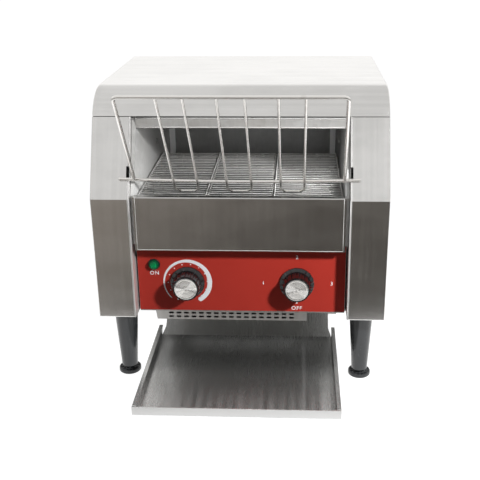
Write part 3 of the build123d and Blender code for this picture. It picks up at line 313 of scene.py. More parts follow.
def slide_sheet(tap):
    """Heat-browned plate with near-white strips at both sides: a painted highlight."""
    where = place(tap)
    values = zinc_sheet(0.42, 0.3)(tap)
    beside = where.axis("X").size().ease(
        slide_edge - slide_strip_width - 0.0004, slide_edge - slide_strip_width
    )
    # Painted highlight: near-white strips along both sides of the plate, above a height.
    painted_highlight_strip = beside * where.axis("Z").ease(slide_strip_bottom, slide_strip_bottom + 0.004)
    values["Base Color"] = painted_highlight_strip.blend(values["Base Color"], (0.95, 0.95, 0.94))
    values["Metallic"] = 0.45 - 0.45 * painted_highlight_strip
    return values


finish(
    "zinc_coated_sheet",
    ["base_plate", "bulkhead", "control_panel", "tray_hanger"],
    zinc_sheet(0.50),
    metallic=0.9,
)
# The reflector's near-black tone is painted shade under the belt, showing between its wires.
finish("reflector_painted_shade", ["lower_reflector"], zinc_sheet(0.08, 0.3), metallic=0.6)
finish("zinc_tunnel_walls", ["side_frame_left", "side_frame_right"], tunnel_wall, metallic=0.20)
finish("hood_plate", ["hood"], zinc_sheet(0.78, 0.2), metallic=0.6)
finish("toast_slide_plate", ["toast_slide"], slide_sheet)

# ------------------------------------------------------------------ stainless covers
# Side covers, top cover, front panel, vent pan and rear panel are folded from brushed stainless
# sheet. The grain runs up the faces, and from side to side on the top cover. The thin sheet is
# never quite flat.


def facing(tap):
    """The direction that the surface faces."""
    return tap.node("NewGeometry", out="Normal")


def grain_lines(across, along):
    """Coordinates for noise drawn out into long lines: 60 times denser across than along."""
    return across.node("CombineXYZ", sockets={0: across * 60.0, 1: along, 2: 0.0})


def brushed(tone, rough=0.22, wave=0.0004, sideways_grain=False):
    """Brushed sheet: hair lines along the grain, wider bands of polish, and a slow waviness.

    The distance across the grain is x, and y on the side walls. A sideways grain runs along x.
    """

    def sheen(tap):
        where = place(tap)
        x, y, z = where.axis("X"), where.axis("Y"), where.axis("Z")
        if sideways_grain:
            lines = grain_lines(y + z, x)
        else:
            side_wall = facing(tap).axis("X").size().ease(0.6, 0.8)
            lines = grain_lines(x + side_wall * (y - x), y + z)
        hair = mottle(lines, 50.0, 2.0, 0.6)
        bands = mottle(lines, 2.5, 3.0, 0.5)
        cloud = mottle(where, 9.0, 4.0, 0.6, (1.0, 1.0, 2.2)).ease(0.36, 0.64)
        slow = mottle(where, 5.0, 1.0)
        light = 0.20 * hair + 0.30 * bands.ease(0.30, 0.70) + 0.50 * cloud
        low = (0.89 * tone, 0.88 * tone, 0.865 * tone)
        high = (1.07 * tone, 1.06 * tone, 1.045 * tone)
        return {
            "Base Color": light.blend(low, high),
            "Roughness": rough - 0.04 + 0.05 * hair + 0.03 * bands + 0.03 * cloud,
            "Normal": dent(hair, 0.0000015, over=dent(slow, wave)),
        }

    return sheen


def side_cover_sheet(tap):
    """Brushed sheet, duller where it is folded back behind the inner front edge."""
    values = brushed(0.80)(tap)
    values["Metallic"] = 0.50 + 0.50 * place(tap).axis("X").size().ease(0.1375, 0.1385)
    return values


finish("brushed_side_covers", ["side_cover_left", "side_cover_right"], side_cover_sheet)
finish(
    "brushed_top_cover",
    ["top_cover"],
    brushed(0.82, wave=0.0003, sideways_grain=True),
    metallic=1.0,
)
finish("brushed_front_panel", ["front_panel"], brushed(0.64, wave=0.0005), metallic=1.0)
finish("brushed_rear_panel", ["back_panel"], brushed(0.70, 0.28), metallic=1.0)
finish("brushed_vent_pan", ["vent_pan"], brushed(0.62, 0.34), metallic=1.0)

# ------------------------------------------------------------------ control panel overlay
# Red polycarbonate film with a fine satin texture, coloured from behind and stuck on the steel
# panel.


def red_film(tap):
    """Satin film: tiny pebbles, slight unevenness of the ink."""
    where = place(tap)
    pebble = mottle(where, 2600.0, 1.0)
    cloud = mottle(where, 22.0, 3.0)
    return {
        "Base Color": cloud.blend((0.43, 0.036, 0.025), (0.48, 0.042, 0.029)),
        "Roughness": 0.42 + 0.12 * pebble,
        "Normal": dent(pebble, 0.000006, over=dent(cloud, 0.0001)),
    }


finish("red_overlay_film", ["panel_overlay"], red_film, specular_ior_level=0.15)

# ------------------------------------------------------------------ print on the overlay
# White screen print: a swelling arc round the speed dial with dots inside it, ON under the lamp,
# and OFF and plain numbers round the selector.

overlay_face_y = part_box("panel_overlay")[0].y
dial_low, dial_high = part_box("speed_knob_cap")
dial_x, knob_z = (dial_low.x + dial_high.x) / 2, (dial_low.z + dial_high.z) / 2
cap_low, cap_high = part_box("selector_knob_cap")
selector_x = (cap_low.x + cap_high.x) / 2
lens_low, lens_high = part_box("lamp_lens")
lamp_x = (lens_low.x + lens_high.x) / 2
print_thickness = 0.00006


def white_ink(tap):
    """Screen-printed ink: nearly even white with a faint mesh."""
    mesh_mark = mottle(place(tap), 1500.0, 1.0)
    return {
        "Base Color": mesh_mark.blend((0.92, 0.93, 0.95), (0.98, 0.98, 1.0)),
        "Roughness": 0.38 + 0.1 * mesh_mark,
        "Normal": dent(mesh_mark, 0.000004),
    }


ink = finish("white_ink", [], white_ink)

arc_radius = 0.0318
arc_start, arc_end = -137.0, 152.5
arc_thin, arc_swelling = 0.0011, 0.0051


def printed_arc(turns=160):
    """Swelling arc: outer edge a circle, thickness growing with the angle, ends rounded.

    A point at share s of the way has angle start + s * (end - start) clockwise from the top; its
    inner radius is the outer radius less the thickness there, which ends in half circles.
    """
    share = np.linspace(0.0, 1.0, turns)
    angle = np.radians(arc_start + share * (arc_end - arc_start))
    wide = arc_thin + arc_swelling * np.clip(share * 1.30, 0.0, 1.0) ** 1.1
    middle = arc_radius - wide / 2
    reach = np.minimum((share * (turns - 1)) / 3.0, ((1 - share) * (turns - 1)) / 3.0)
    round_off = np.sqrt(np.clip(1 - (1 - np.clip(reach, 0, 1)) ** 2, 0.0, 1.0))
    half = wide / 2 * np.maximum(round_off, 0.04)
    rings = []
    for side, lift in ((-1, 0), (-1, 1), (1, 1), (1, 0)):
        radius = middle + side * half
        x, z = dial_x + radius * np.sin(angle), knob_z + radius * np.cos(angle)
        y = np.full_like(x, overlay_face_y - lift * print_thickness)
        rings.append(np.stack([x, y, z], -1))
    start, end = np.arange(4), (turns - 1) * 4 + np.arange(4)[::-1]
    return np.stack(rings, 1), list(ring_faces(turns, 4)[:, ::-1]) + [start, end]


arc_points, arc_faces = printed_arc()
surface("print_dial_arc", arc_points, arc_faces, ink, "machine")

# Each dot is a short round prism: a front and a back ring of points on a circle round the dial.
dot_circle, dot_radius, dot_sides = 0.0254, 0.00080, 12
dot_angle = np.radians(np.arange(-117.0, 150.0, 25.5))[:, None]
edge = np.radians(np.arange(0, 360, 360 // dot_sides))[None, :]
dot_x = dial_x + dot_circle * np.sin(dot_angle) + dot_radius * np.sin(edge)
dot_z = knob_z + dot_circle * np.cos(dot_angle) + dot_radius * np.cos(edge)
dot_rings = [
    np.stack([dot_x, np.full_like(dot_x, overlay_face_y - lift), dot_z], -1)
    for lift in (print_thickness, 0.0)
]
dot_first = (np.arange(len(dot_angle)) * 2 * dot_sides)[:, None]
dot_walls = (dot_first[:, :, None] + ring_faces(2, dot_sides)[None]).reshape(-1, 4)
dot_fronts = dot_first + np.arange(dot_sides)[::-1][None, :]
dot_backs = dot_first + dot_sides + np.arange(dot_sides)[None, :]
dot_faces = list(dot_walls) + list(dot_fronts) + list(dot_backs)
surface("print_dial_dots", np.stack(dot_rings, 1), dot_faces, ink, "machine")


def printed_word(name, text, x, z, height=0.0050, spacing=1.0):
    """Flat lettering made a mesh, then set on the face of the overlay, centred on x and z."""
    letters = bpy.data.curves.new(name, "FONT")
    letters.body = text
    letters.size = height / 0.70
    letters.space_character = spacing
    letters.align_x = "CENTER"
    letters.align_y = "CENTER"
    letters.offset = 0.00010
    letters.extrude = print_thickness / 2
    writing = bpy.data.objects.new(name + "_outline", letters)
    bpy.context.scene.collection.objects.link(writing)
    bpy.context.view_layer.update()
    drawn = writing.evaluated_get(bpy.context.evaluated_depsgraph_get())
    mesh = bpy.data.meshes.new_from_object(drawn)
    bpy.data.objects.remove(writing)
    stand = Matrix.Translation((x, overlay_face_y - print_thickness / 2, z))
    mesh.transform(stand @ Matrix.Rotation(pi / 2, 4, "X"))
    joined = bmesh.new()
    joined.from_mesh(mesh)
    bmesh.ops.remove_doubles(joined, verts=joined.verts, dist=0.000001)
    bmesh.ops.recalc_face_normals(joined, faces=joined.faces)
    joined.to_mesh(mesh)
    joined.free()
    mesh.materials.clear()
    mesh.materials.append(ink)
    piece = bpy.data.objects.new(name, mesh)
    bpy.context.scene.collection.objects.link(piece)
    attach(piece, "machine")


printed_word("print_on", "ON", lamp_x, 0.1538, spacing=1.2)
printed_word("print_off", "OFF", selector_x, 0.1058, height=0.0051, spacing=1.15)
printed_word("print_one", "1", selector_x - 0.0432, knob_z)
printed_word("print_two", "2", selector_x, knob_z + 0.0363)
printed_word("print_three", "3", selector_x + 0.0445, knob_z)

# ------------------------------------------------------------------ lamp
# Green neon indicator, snapped into a hole of the panel: a faceted translucent lens pressed in a
# black plastic bezel.


def green_lens(tap):
    """Tinted lens over a prismatic inside, brighter in its middle where the glow lamp sits."""
    where = place(tap)
    x, z = where.axis("X"), where.axis("Z")
    prisms = where.node("TexVoronoi", sockets={"Vector": where, "Scale": 620.0})
    middle = ((x - lamp_x) ** 2.0 + (z - (lens_low.z + lens_high.z) / 2) ** 2.0) ** 0.5
    glow = 1.0 - middle.ease(0.0005, 0.0062)
    facets = 1.0 - prisms.ease(0.20, 0.55)
    lit = 0.30 * glow + 0.70 * facets * glow
    shade = lit.blend((0.0, 0.05, 0.018), (0.005, 0.52, 0.15))
    return {
        "Base Color": shade,
        "Roughness": 0.16 + 0.1 * prisms,
        "Emission Color": shade,
        "Normal": dent(prisms, 0.00012),
    }


finish(
    "green_lamp_lens",
    ["lamp_lens"],
    green_lens,
    emission_strength=0.35,
    specular_ior_level=0.2,
    coat_weight=0.1,
    coat_roughness=0.05,
)
finish(
    "lamp_bezel_black",
    ["lamp_bezel"],
    moulded_black((0.008, 0.008, 0.009), (0.016, 0.016, 0.018), 0.28, 0.000003),
)

# ------------------------------------------------------------------ knobs
# Skirted black phenolic knobs with a white line in the pointer, and a spun aluminium disc pressed
# into the top of each. They turn with their spindles.

pointer_root = 0.0166
pointer_half_width = 0.00088
pointer_face_y = -0.0930


def gloss_knob(x_middle, pointer_angle):
    """Polished black moulding with fluted sides; the raised pointer is filled with white paint."""
    rx, rz = sin(radians(pointer_angle)), cos(radians(pointer_angle))

    def sheen(tap):
        where = place(tap)
        dx, dz = where.axis("X") - x_middle, where.axis("Z") - knob_z
        outside = (dx * rx + dz * rz).ease(pointer_root, pointer_root + 0.00012)
        beside = (dx * rz - dz * rx).size().ease(pointer_half_width, pointer_half_width + 0.00006)
        behind = where.axis("Y").ease(pointer_face_y, pointer_face_y + 0.0004)
        painted = outside * (1.0 - beside) * (1.0 - behind)
        swirl = mottle(where, 220.0, 3.0)
        fine = mottle(where, 1500.0, 2.0)
        flutes = (dx.maths("ARCTAN2", dz) * 16.0).maths("SINE") * 0.5 + 0.5
        black = swirl.blend((0.003, 0.003, 0.004), (0.008, 0.008, 0.009))
        return {
            "Base Color": painted.blend(black, (0.72, 0.72, 0.72)),
            "Roughness": 0.08 + 0.05 * swirl + 0.25 * painted,
            "Normal": dent(fine, 0.000002, over=dent(flutes, 0.0015)),
        }

    return sheen


polish = {"specular_ior_level": 0.55, "coat_weight": 0.25, "coat_roughness": 0.04}
finish("dial_knob_black", ["speed_knob"], gloss_knob(dial_x, 215.0), **polish)
finish("selector_knob_black", ["selector_knob"], gloss_knob(selector_x, 180.0), **polish)


def spun_disc(x_middle, tone=0.95):
    """Spun face: fine rings tilt the normal; its rays are sunray marks and a painted sheen."""

    def noise(value, scale):
        settings = {"noise_dimensions": "1D"}
        return value.node("TexNoise", settings, {"W": value * scale, "Scale": 1.0})

    def sheen(tap):
        where = place(tap)
        dx, dz = where.axis("X") - x_middle, where.axis("Z") - knob_z
        radius = (dx ** 2.0 + dz ** 2.0) ** 0.5
        step = (radius * 6000.0).maths("FLOOR")
        ring = step.node("TexWhiteNoise", {"noise_dimensions": "1D"}, {"W": step})
        wide_ring = noise(radius, 400.0)
        # Sunray marks, and a painted sheen: light and dark rays round the middle, in the colour.
        sunray_marks_and_sheen = noise(dx.maths("ARCTAN2", dz), 2.2).ease(0.38, 0.62)
        tilt = (ring - 0.5) * 0.60 / (radius + 0.0002)
        lean = where.node("CombineXYZ", sockets={0: dx * tilt, 1: 0.0, 2: dz * tilt})
        settings = {"vector_type": "NORMAL", "convert_from": "OBJECT", "convert_to": "WORLD"}
        lean = lean.node("VectorTransform", settings, {0: lean})
        leaning = lean.node("VectorMath", {"operation": "ADD"}, {0: facing(tap), 1: lean})
        light = 0.55 + 0.10 * ring + 0.15 * wide_ring + 0.20 * sunray_marks_and_sheen
        low = (0.80 * tone, 0.78 * tone, 0.75 * tone)
        high = (1.04 * tone, 1.02 * tone, 0.99 * tone)
        return {
            "Base Color": light.blend(low, high),
            "Roughness": 0.22 + 0.05 * wide_ring,
            "Normal": leaning.node("VectorMath", {"operation": "NORMALIZE"}, {0: leaning}),
        }

    return sheen


finish("dial_cap_spun", ["speed_knob_cap"], spun_disc(dial_x), metallic=1.0)
finish("selector_cap_spun", ["selector_knob_cap"], spun_disc(selector_x), metallic=1.0)

# ------------------------------------------------------------------ conveyor
# Belt of stainless cross wires hooked to each other, carried on toothed wheels on two ground shafts
# that run in brass bushes. A small roller chain drives the rear shaft. The turned spindles, nuts
# and screws of the machine have the shafts' finish.


def wire_skin(low, high, rough, spot=900.0, draw=0.00001):
    """Drawn wire: bright skin with draw marks, small stains and a little burnt-on brown."""

    def sheen(tap):
        where = place(tap)
        mark = mottle(where, spot, 2.0)
        stain = mottle(where, 45.0, 4.0, 0.65)
        clean = mark.blend(low, high)
        return {
            "Base Color": (0.45 * stain.ease(0.55, 0.85)).blend(clean, (0.36, 0.29, 0.22)),
            "Roughness": rough + 0.12 * mark + 0.10 * stain,
            "Normal": dent(mark, draw),
        }

    return sheen


def belt_skin(tap):
    """Wire with painted highlight on its tops, painted shade on its sides and in the lower run."""
    top = facing(tap).axis("Z").ease(0.35, 0.75)
    upper_run = place(tap).axis("Z").ease(0.2480, 0.2555)
    values = wire_skin((0.80, 0.79, 0.77), (1.0, 0.99, 0.97), 0.18)(tap)
    # Painted highlight and shade: upward faces stay light, the sides and the lower run go dark.
    painted_belt_shade = 0.90 * (1.0 - upper_run * (0.15 + 0.85 * top))
    values["Base Color"] = painted_belt_shade.blend(values["Base Color"], (0.06, 0.054, 0.048))
    return values


def tubes(paths, radius, sides, hint):
    """Round bars along paths, an array of paths by points by three, with flat ends.

    A point of a ring is the path's point plus radius times (cos t * one + sin t * other), where one
    is square to the path's direction and the hint, and other is square to the direction and one.
    """
    along = np.gradient(paths, axis=1)
    along /= np.linalg.norm(along, axis=2, keepdims=True)
    one = np.cross(along, hint)
    one /= np.linalg.norm(one, axis=2, keepdims=True)
    other = np.cross(along, one)
    turn = np.linspace(0.0, 2 * pi, sides, endpoint=False)[None, None, :, None]
    spokes = np.cos(turn) * one[:, :, None] + np.sin(turn) * other[:, :, None]
    rings = paths[:, :, None] + radius * spokes
    count, length = paths.shape[:2]
    first = (np.arange(count) * length * sides)[:, None]
    walls = (first[:, :, None] + ring_faces(length, sides)[None]).reshape(-1, 4)
    start_caps = first + np.arange(sides)[::-1][None, :]
    end_caps = first + ((length - 1) * sides + np.arange(sides))[None, :]
    return rings, list(walls) + list(start_caps) + list(end_caps)


def round_bars(name, paths, radius, sides, hint, material):
    """Smooth-shaded round bars as one piece of the machine."""
    points, faces = tubes(paths, radius, sides, hint)
    piece = surface(name, points, faces, material, "machine")
    piece.data.shade_smooth()
    return piece


def rounded(path):
    """Corners cut twice: each run keeps its points at a quarter and three quarters, ends stay."""
    for _ in range(2):
        near = 0.75 * path[:-1] + 0.25 * path[1:]
        far = 0.25 * path[:-1] + 0.75 * path[1:]
        path = np.concatenate([path[:1], np.stack([near, far], 1).reshape(-1, 3), path[-1:]])
    return path


belt_bright = finish("belt_wire", ["belt"], belt_skin, metallic=0.40)
pitch = 0.008
wire_radius = 0.0009
hook = 2 * wire_radius
half_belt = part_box("belt")[1].x - wire_radius
inner_row = 0.0414

# One cross wire, from its middle to the right: a loop round the next wire at the inner row, then
# the end hook. First x, then the way to the next wire, then the way out of the belt.
right_part = np.array(
    [
        (0.0, 0.0, 0.0),
        (inner_row - 0.0030, 0.0, 0.0),
        (inner_row - 0.0016, 0.0014, -0.0002),
        (inner_row - 0.0016, pitch - 0.0025, -0.0012),
        (inner_row - 0.0013, pitch, -hook),
        (inner_row, pitch + hook, 0.0),
        (inner_row + 0.0013, pitch, hook),
        (inner_row + 0.0016, pitch - 0.0025, 0.0012),
        (inner_row + 0.0016, 0.0014, 0.0002),
        (inner_row + 0.0030, 0.0, 0.0),
        (half_belt - 0.0022, 0.0, 0.0),
        (half_belt, 0.0, 0.0),
        (half_belt, 0.0022, 0.0002),
        (half_belt, pitch - 0.0020, 0.0012),
        (half_belt, pitch, hook),
        (half_belt, pitch + hook, 0.0),
        (half_belt, pitch, -hook),
        (half_belt, pitch - 0.0022, -0.0016),
    ]
)
left_part = right_part[:0:-1] * (-1.0, 1.0, 1.0)
cross_wire = rounded(np.concatenate([left_part, right_part]))

# The wires' places round the loop: along the top, round the drive shaft's wheels, back below, and
# round the idler shaft's wheels. Four wires lie round the wheels at either end.
idler_y, drive_y = -0.083, 0.109
teeth, straight_steps, wires_round = 9, 24, np.arange(4)
wheel_radius = pitch / 2 / sin(pi / teeth)
axle_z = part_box("belt")[1].z - wire_radius - wheel_radius
turn_in = pi / 2 - (wires_round + 1) * 2 * pi / teeth
turn_out = -pi / 2 - (wires_round + 0.5) * 2 * pi / teeth
loop_y = np.concatenate(
    [
        idler_y + np.arange(straight_steps + 1) * pitch,
        drive_y + wheel_radius * np.cos(turn_in),
        drive_y - pitch / 2 - np.arange(straight_steps) * pitch,
        idler_y + wheel_radius * np.cos(turn_out),
    ]
)
loop_z = np.concatenate(
    [
        np.full(straight_steps + 1, axle_z + wheel_radius),
        axle_z + wheel_radius * np.sin(turn_in),
        np.full(straight_steps, axle_z - wheel_radius),
        axle_z + wheel_radius * np.sin(turn_out),
    ]
)
heading = np.arctan2(np.roll(loop_z, -1) - loop_z, np.roll(loop_y, -1) - loop_y)[:, None]
ahead, outward = cross_wire[None, :, 1], cross_wire[None, :, 2]
belt_paths = np.stack(
    [
        np.repeat(cross_wire[None, :, 0], len(loop_y), 0),
        loop_y[:, None] + ahead * np.cos(heading) - outward * np.sin(heading),
        loop_z[:, None] + ahead * np.sin(heading) + outward * np.cos(heading),
    ],
    -1,
)
slanting = (0.6, 0.25, 0.76)
belt_wires = round_bars("belt_wires", belt_paths, wire_radius, 6, slanting, belt_bright)
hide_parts("belt")
finish(
    "turned_steel",
    [
        "drive_shaft",
        "idler_shaft",
        "motor_shaft",
        "speed_spindle",
        "selector_spindle",
        "panel_nuts",
        "drive_sprockets",
        "idler_sprockets",
        "driven_sprocket",
        "motor_sprocket",
        "frame_screws",
        "back_screws",
    ],
    wire_skin((0.46, 0.46, 0.46), (0.66, 0.66, 0.65), 0.26, 1400.0),
    metallic=1.0,
)
finish(
    "oiled_chain",
    ["drive_chain"],
    wire_skin((0.24, 0.23, 0.21), (0.40, 0.38, 0.35), 0.32),
    metallic=1.0,
)
finish(
    "brass_bushes",
    ["shaft_bushes"],
    wire_skin((0.60, 0.44, 0.20), (0.78, 0.60, 0.30), 0.30),
    metallic=1.0,
)

# ------------------------------------------------------------------ folds with painted highlight
# Where the sheet is folded or hemmed, round bars stand for its outer radius: round the apron's
# border, down the covers' inner front edges and along both hems of the hood strip. Their
# near-white tone is a painted highlight.

# Brushed steel lighter than the sheets round it: a painted highlight along the folds.
fold_painted_highlight = finish("fold_with_painted_highlight", [], brushed(0.97, 0.16), metallic=0.60)


def straight_run(*ends):
    """Points from end to end, eight to each run."""
    runs = [
        start + (stop - start) * np.linspace(0.0, 1.0, 8)[:, None]
        for start, stop in zip(np.array(ends[:-1], float), np.array(ends[1:], float))
    ]
    return np.concatenate([runs[0]] + [run[1:] for run in runs[1:]])


front_to_rear = (0.0, 1.0, 0.0)
apron_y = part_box("front_panel")[0].y
apron_edge, apron_top, apron_bottom = 0.1284, 0.2630, 0.1942
border = straight_run(
    (-apron_edge, apron_y + 0.0002, apron_top),
    (-apron_edge, apron_y + 0.0002, apron_bottom),
    (apron_edge, apron_y + 0.0002, apron_bottom),
    (apron_edge, apron_y + 0.0002, apron_top),
)
apron_border = round_bars("apron_border", border[None], 0.00045, 8, front_to_rear, fold_painted_highlight)

cover_edge, cover_crease = 0.1362, 0.2603
cover_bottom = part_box("side_cover_left")[0].z + 0.0006
inner_edges = np.stack(
    [
        straight_run((x, apron_y + 0.0003, cover_crease), (x, apron_y + 0.0003, cover_bottom))
        for x in (-cover_edge, cover_edge)
    ]
)
cover_folds = round_bars("cover_inner_folds", inner_edges, 0.00055, 8, front_to_rear, fold_painted_highlight)

hood_edge, hood_strip_y, hem_heights = 0.1303, -0.0613, (0.3518, 0.3402)
hems = np.stack(
    [straight_run((-hood_edge, hood_strip_y, z), (hood_edge, hood_strip_y, z)) for z in hem_heights]
)
hood_edges = round_bars("hood_hems", hems, 0.0009, 10, front_to_rear, fold_painted_highlight)

# ------------------------------------------------------------------ heaters
# Six quartz tubes with a coiled element inside, three above the belt and three between its runs,
# held by white ceramic end caps in the side frames.


def clear_quartz(tap):
    """Drawn quartz with faint lines along the tube and a milky end."""
    where = place(tap)
    drawn = mottle(where, 300.0, 2.0, 0.5, (0.05, 1.0, 1.0))
    milky = where.axis("X").size().ease(0.10, 0.128)
    return {
        "Base Color": milky.blend((0.86, 0.87, 0.86), (0.70, 0.70, 0.68)),
        "Roughness": 0.06 + 0.10 * drawn + 0.25 * milky,
        "Normal": dent(drawn, 0.00004),
    }


def fired_ceramic(tap):
    """Steatite: chalky body with tiny pits and a tan edge from the heat."""
    where = place(tap)
    pits = mottle(where, 1100.0, 2.0)
    cloud = mottle(where, 90.0, 3.0)
    return {
        "Base Color": cloud.blend((0.58, 0.53, 0.44), (0.78, 0.75, 0.68)),
        "Roughness": 0.55 + 0.2 * pits,
        "Normal": dent(pits, 0.00004),
    }


def coiled_element(tap):
    """Resistance wire: dark oxide with lighter rubbed patches."""
    where = place(tap)
    oxide = mottle(where, 240.0, 3.0)
    fine = mottle(where, 1800.0, 2.0)
    return {
        "Base Color": (0.6 * oxide + 0.4 * fine).blend((0.05, 0.043, 0.038), (0.26, 0.22, 0.19)),
        "Roughness": 0.45 + 0.2 * oxide,
        "Normal": dent(fine, 0.00002),
    }


finish("quartz_glass", ["quartz_tubes"], clear_quartz, transmission_weight=0.85, ior=1.46)
finish("steatite_caps", ["heater_end_caps"], fired_ceramic)
coil_wire = finish("resistance_coil", ["heater_coils"], coiled_element, metallic=0.8)

# Each coil is a helix round its tube's line: the angle grows evenly with the way along x.
coil_low, coil_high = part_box("heater_coils")
coil_outer_radius, coil_wire_radius, coil_end = 0.0034, 0.00045, 0.001
coil_radius = coil_outer_radius - coil_wire_radius
coil_turns, points_a_turn = 90, 9
tube_rows = (-0.035, 0.013, 0.061)
tube_heights = (axle_z, coil_high.z - coil_outer_radius)
along_coil = np.linspace(0.0, 1.0, coil_turns * points_a_turn)
coil_turn = along_coil * coil_turns * 2 * pi
coil_x = coil_low.x + coil_end + (coil_high.x - coil_low.x - 2 * coil_end) * along_coil
tube_lines = np.array([(y, z) for z in tube_heights for y in tube_rows])
coil_paths = np.stack(
    [
        np.repeat(coil_x[None, :], len(tube_lines), 0),
        tube_lines[:, :1] + coil_radius * np.cos(coil_turn)[None, :],
        tube_lines[:, 1:] + coil_radius * np.sin(coil_turn)[None, :],
    ],
    -1,
)
coils = round_bars(
    "coiled_elements", coil_paths, coil_wire_radius, 4, (1.0, 0.0, 0.0), coil_wire
)
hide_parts("heater_coils")

# ------------------------------------------------------------------ motor, fan and wiring parts
# Painted gear motor, black nylon fan and cable bushing, green circuit board, ivory terminal block
# and the bodies of the two controls, all out of sight inside the machine or at its rear.


def powder_paint(low, high, peel):
    """Powder coat: orange peel and a slight speckle."""

    def sheen(tap):
        where = place(tap)
        peel_height = mottle(where, 700.0, 2.0)
        cloud = mottle(where, 60.0, 3.0)
        return {
            "Base Color": (0.5 * peel_height + 0.5 * cloud).blend(low, high),
            "Roughness": 0.42 + 0.18 * cloud,
            "Normal": dent(peel_height, peel),
        }

    return sheen


def circuit_board(tap):
    """Solder mask with copper lanes showing through as a lighter green."""
    where = place(tap)
    settings = {"feature": "DISTANCE_TO_EDGE"}
    lanes = where.node("TexVoronoi", settings, {"Vector": where, "Scale": 260.0})
    lane = 1.0 - lanes.ease(0.02, 0.06)
    cloud = mottle(where, 80.0, 3.0)
    return {
        "Base Color": (0.7 * lane + 0.3 * cloud).blend((0.010, 0.090, 0.035), (0.03, 0.22, 0.09)),
        "Roughness": 0.32 + 0.15 * cloud,
        "Normal": dent(lane, 0.00004),
    }


finish(
    "motor_paint",
    ["gear_motor"],
    powder_paint((0.10, 0.10, 0.11), (0.17, 0.17, 0.18), 0.00005),
    metallic=0.3,
)
finish(
    "nylon_black",
    ["fan_frame", "fan_rotor", "cable_bushing"],
    moulded_black((0.010, 0.010, 0.011), (0.024, 0.024, 0.026), 0.38, 0.00001),
)
finish(
    "control_bodies",
    ["speed_potentiometer", "selector_switch"],
    powder_paint((0.03, 0.032, 0.036), (0.06, 0.062, 0.07), 0.00002),
)
finish(
    "ivory_block",
    ["terminal_block"],
    powder_paint((0.60, 0.57, 0.48), (0.74, 0.71, 0.62), 0.00002),
)
finish("solder_mask_green", ["control_board"], circuit_board)

# ------------------------------------------------------------------ loading rack
# Nickel-plated wire: a bent frame with pairs of bars welded across its two long wires. The ends of
# its lower wire hang in the notches of the side covers.

finish(
    "nickel_wire",
    ["loading_rack"],
    wire_skin((0.92, 0.90, 0.87), (0.98, 0.96, 0.93), 0.12, 260.0, 0.0000005),
    metallic=1.0,
)

# ------------------------------------------------------------------ receiving tray
# Folded stainless tray with a ramp at its rear, slid into its hanger from the front. Long brush
# lines run from front to rear, and use has rubbed it along its sides and near its lip. Painted
# light lightens it towards the lip, its lip's face has a painted highlight and its ramp painted
# shade.

streak_spacing = 0.0128


def tray_sheet(tap):
    """Brush lines front to rear, with rubbed streaks and painted light and shade.

    The streaks that fade in towards the lip are partly rubbing and partly painted light; the lip's
    front face is painted lighter as a highlight and the ramp under the body darker as shade.
    """
    where = place(tap)
    x, y = where.axis("X"), where.axis("Y")
    lip = (0.0 - facing(tap).axis("Y")).ease(0.6, 0.8)
    inside = 1.0 - lip
    lines = grain_lines(x, y)
    hair = mottle(lines, 40.0, 2.0, 0.6)
    rubbed = mottle(lines, 2.4, 2.0, 0.5)
    cloud = mottle(where, 10.0, 3.0)
    near_lip = (1.0 - y.ease(-0.212, -0.125)) * inside
    ribs = (x * (2 * pi / streak_spacing)).maths("SINE") * 0.5 + 0.5
    # Rub streaks and painted light: the front of the tray is painted lighter, fading in towards the
    # lip.
    rub_streaks_and_painted_light = (0.6 * ribs + 0.4 * rubbed.ease(0.30, 0.75)) * near_lip ** 1.2
    drift = y.ease(-0.20, -0.06)
    left_rub = (1.0 - (x + 0.079 + 0.029 * drift).size().ease(0.0, 0.011)) * drift
    left_corner = (1.0 - (x + 0.106).size().ease(0.003, 0.018)) * (1.0 - y.ease(-0.205, -0.12))
    right_rub = 1.0 - (x - 0.082).size().ease(0.0, 0.004)
    right_corner = (1.0 - (x - 0.110).size().ease(0.002, 0.014)) * (1.0 - y.ease(-0.19, -0.08))
    rubs = 0.9 * left_rub + 1.1 * left_corner + 0.4 * right_rub + 0.7 * right_corner
    # Painted highlight: the lip's front face takes the lightest tone.
    light = (0.20 * hair + 0.30 * rubbed + 0.20 * cloud + 0.40 * rub_streaks_and_painted_light) * inside + lip
    clean = light.blend((0.60, 0.60, 0.59), (0.90, 0.90, 0.89))
    # Painted shade: the ramp under the body is painted darker.
    painted_shade_under_body = y.ease(-0.125, -0.085)
    turned_up = (-0.130 - y).maths("MAXIMUM", 0.0) ** 2.0
    bent = dent(turned_up, 0.75, over=dent(cloud, 0.0003))
    return {
        "Base Color": (0.45 * painted_shade_under_body).blend(clean, (0.22, 0.22, 0.215)),
        "Roughness": 0.22 + 0.05 * hair + 0.05 * cloud + 0.15 * lip,
        "Metallic": 0.97 - 0.16 * rub_streaks_and_painted_light - 0.20 * rubs * inside - 0.45 * lip,
        "Normal": dent(hair * inside, 0.000002, over=bent),
    }


finish("brushed_tray", ["tray"], tray_sheet)

# ------------------------------------------------------------------ table and light
# A plain white table, a bright room behind and above, a darker one in front and to the right, one
# small key lamp from the upper right, and a weak lamp inside the mouth.


def stage_plane(name, x0, x1, y0, y1, z):
    """Flat quad at height z, which casts no light on dull surfaces."""
    mesh = bpy.data.meshes.new(name)
    mesh.from_pydata([(x0, y0, z), (x1, y0, z), (x1, y1, z), (x0, y1, z)], [], [(0, 1, 2, 3)])
    mesh.materials.append(table)
    plane = bpy.data.objects.new(name, mesh)
    plane.visible_diffuse = False
    bpy.context.scene.collection.objects.link(plane)
    return plane


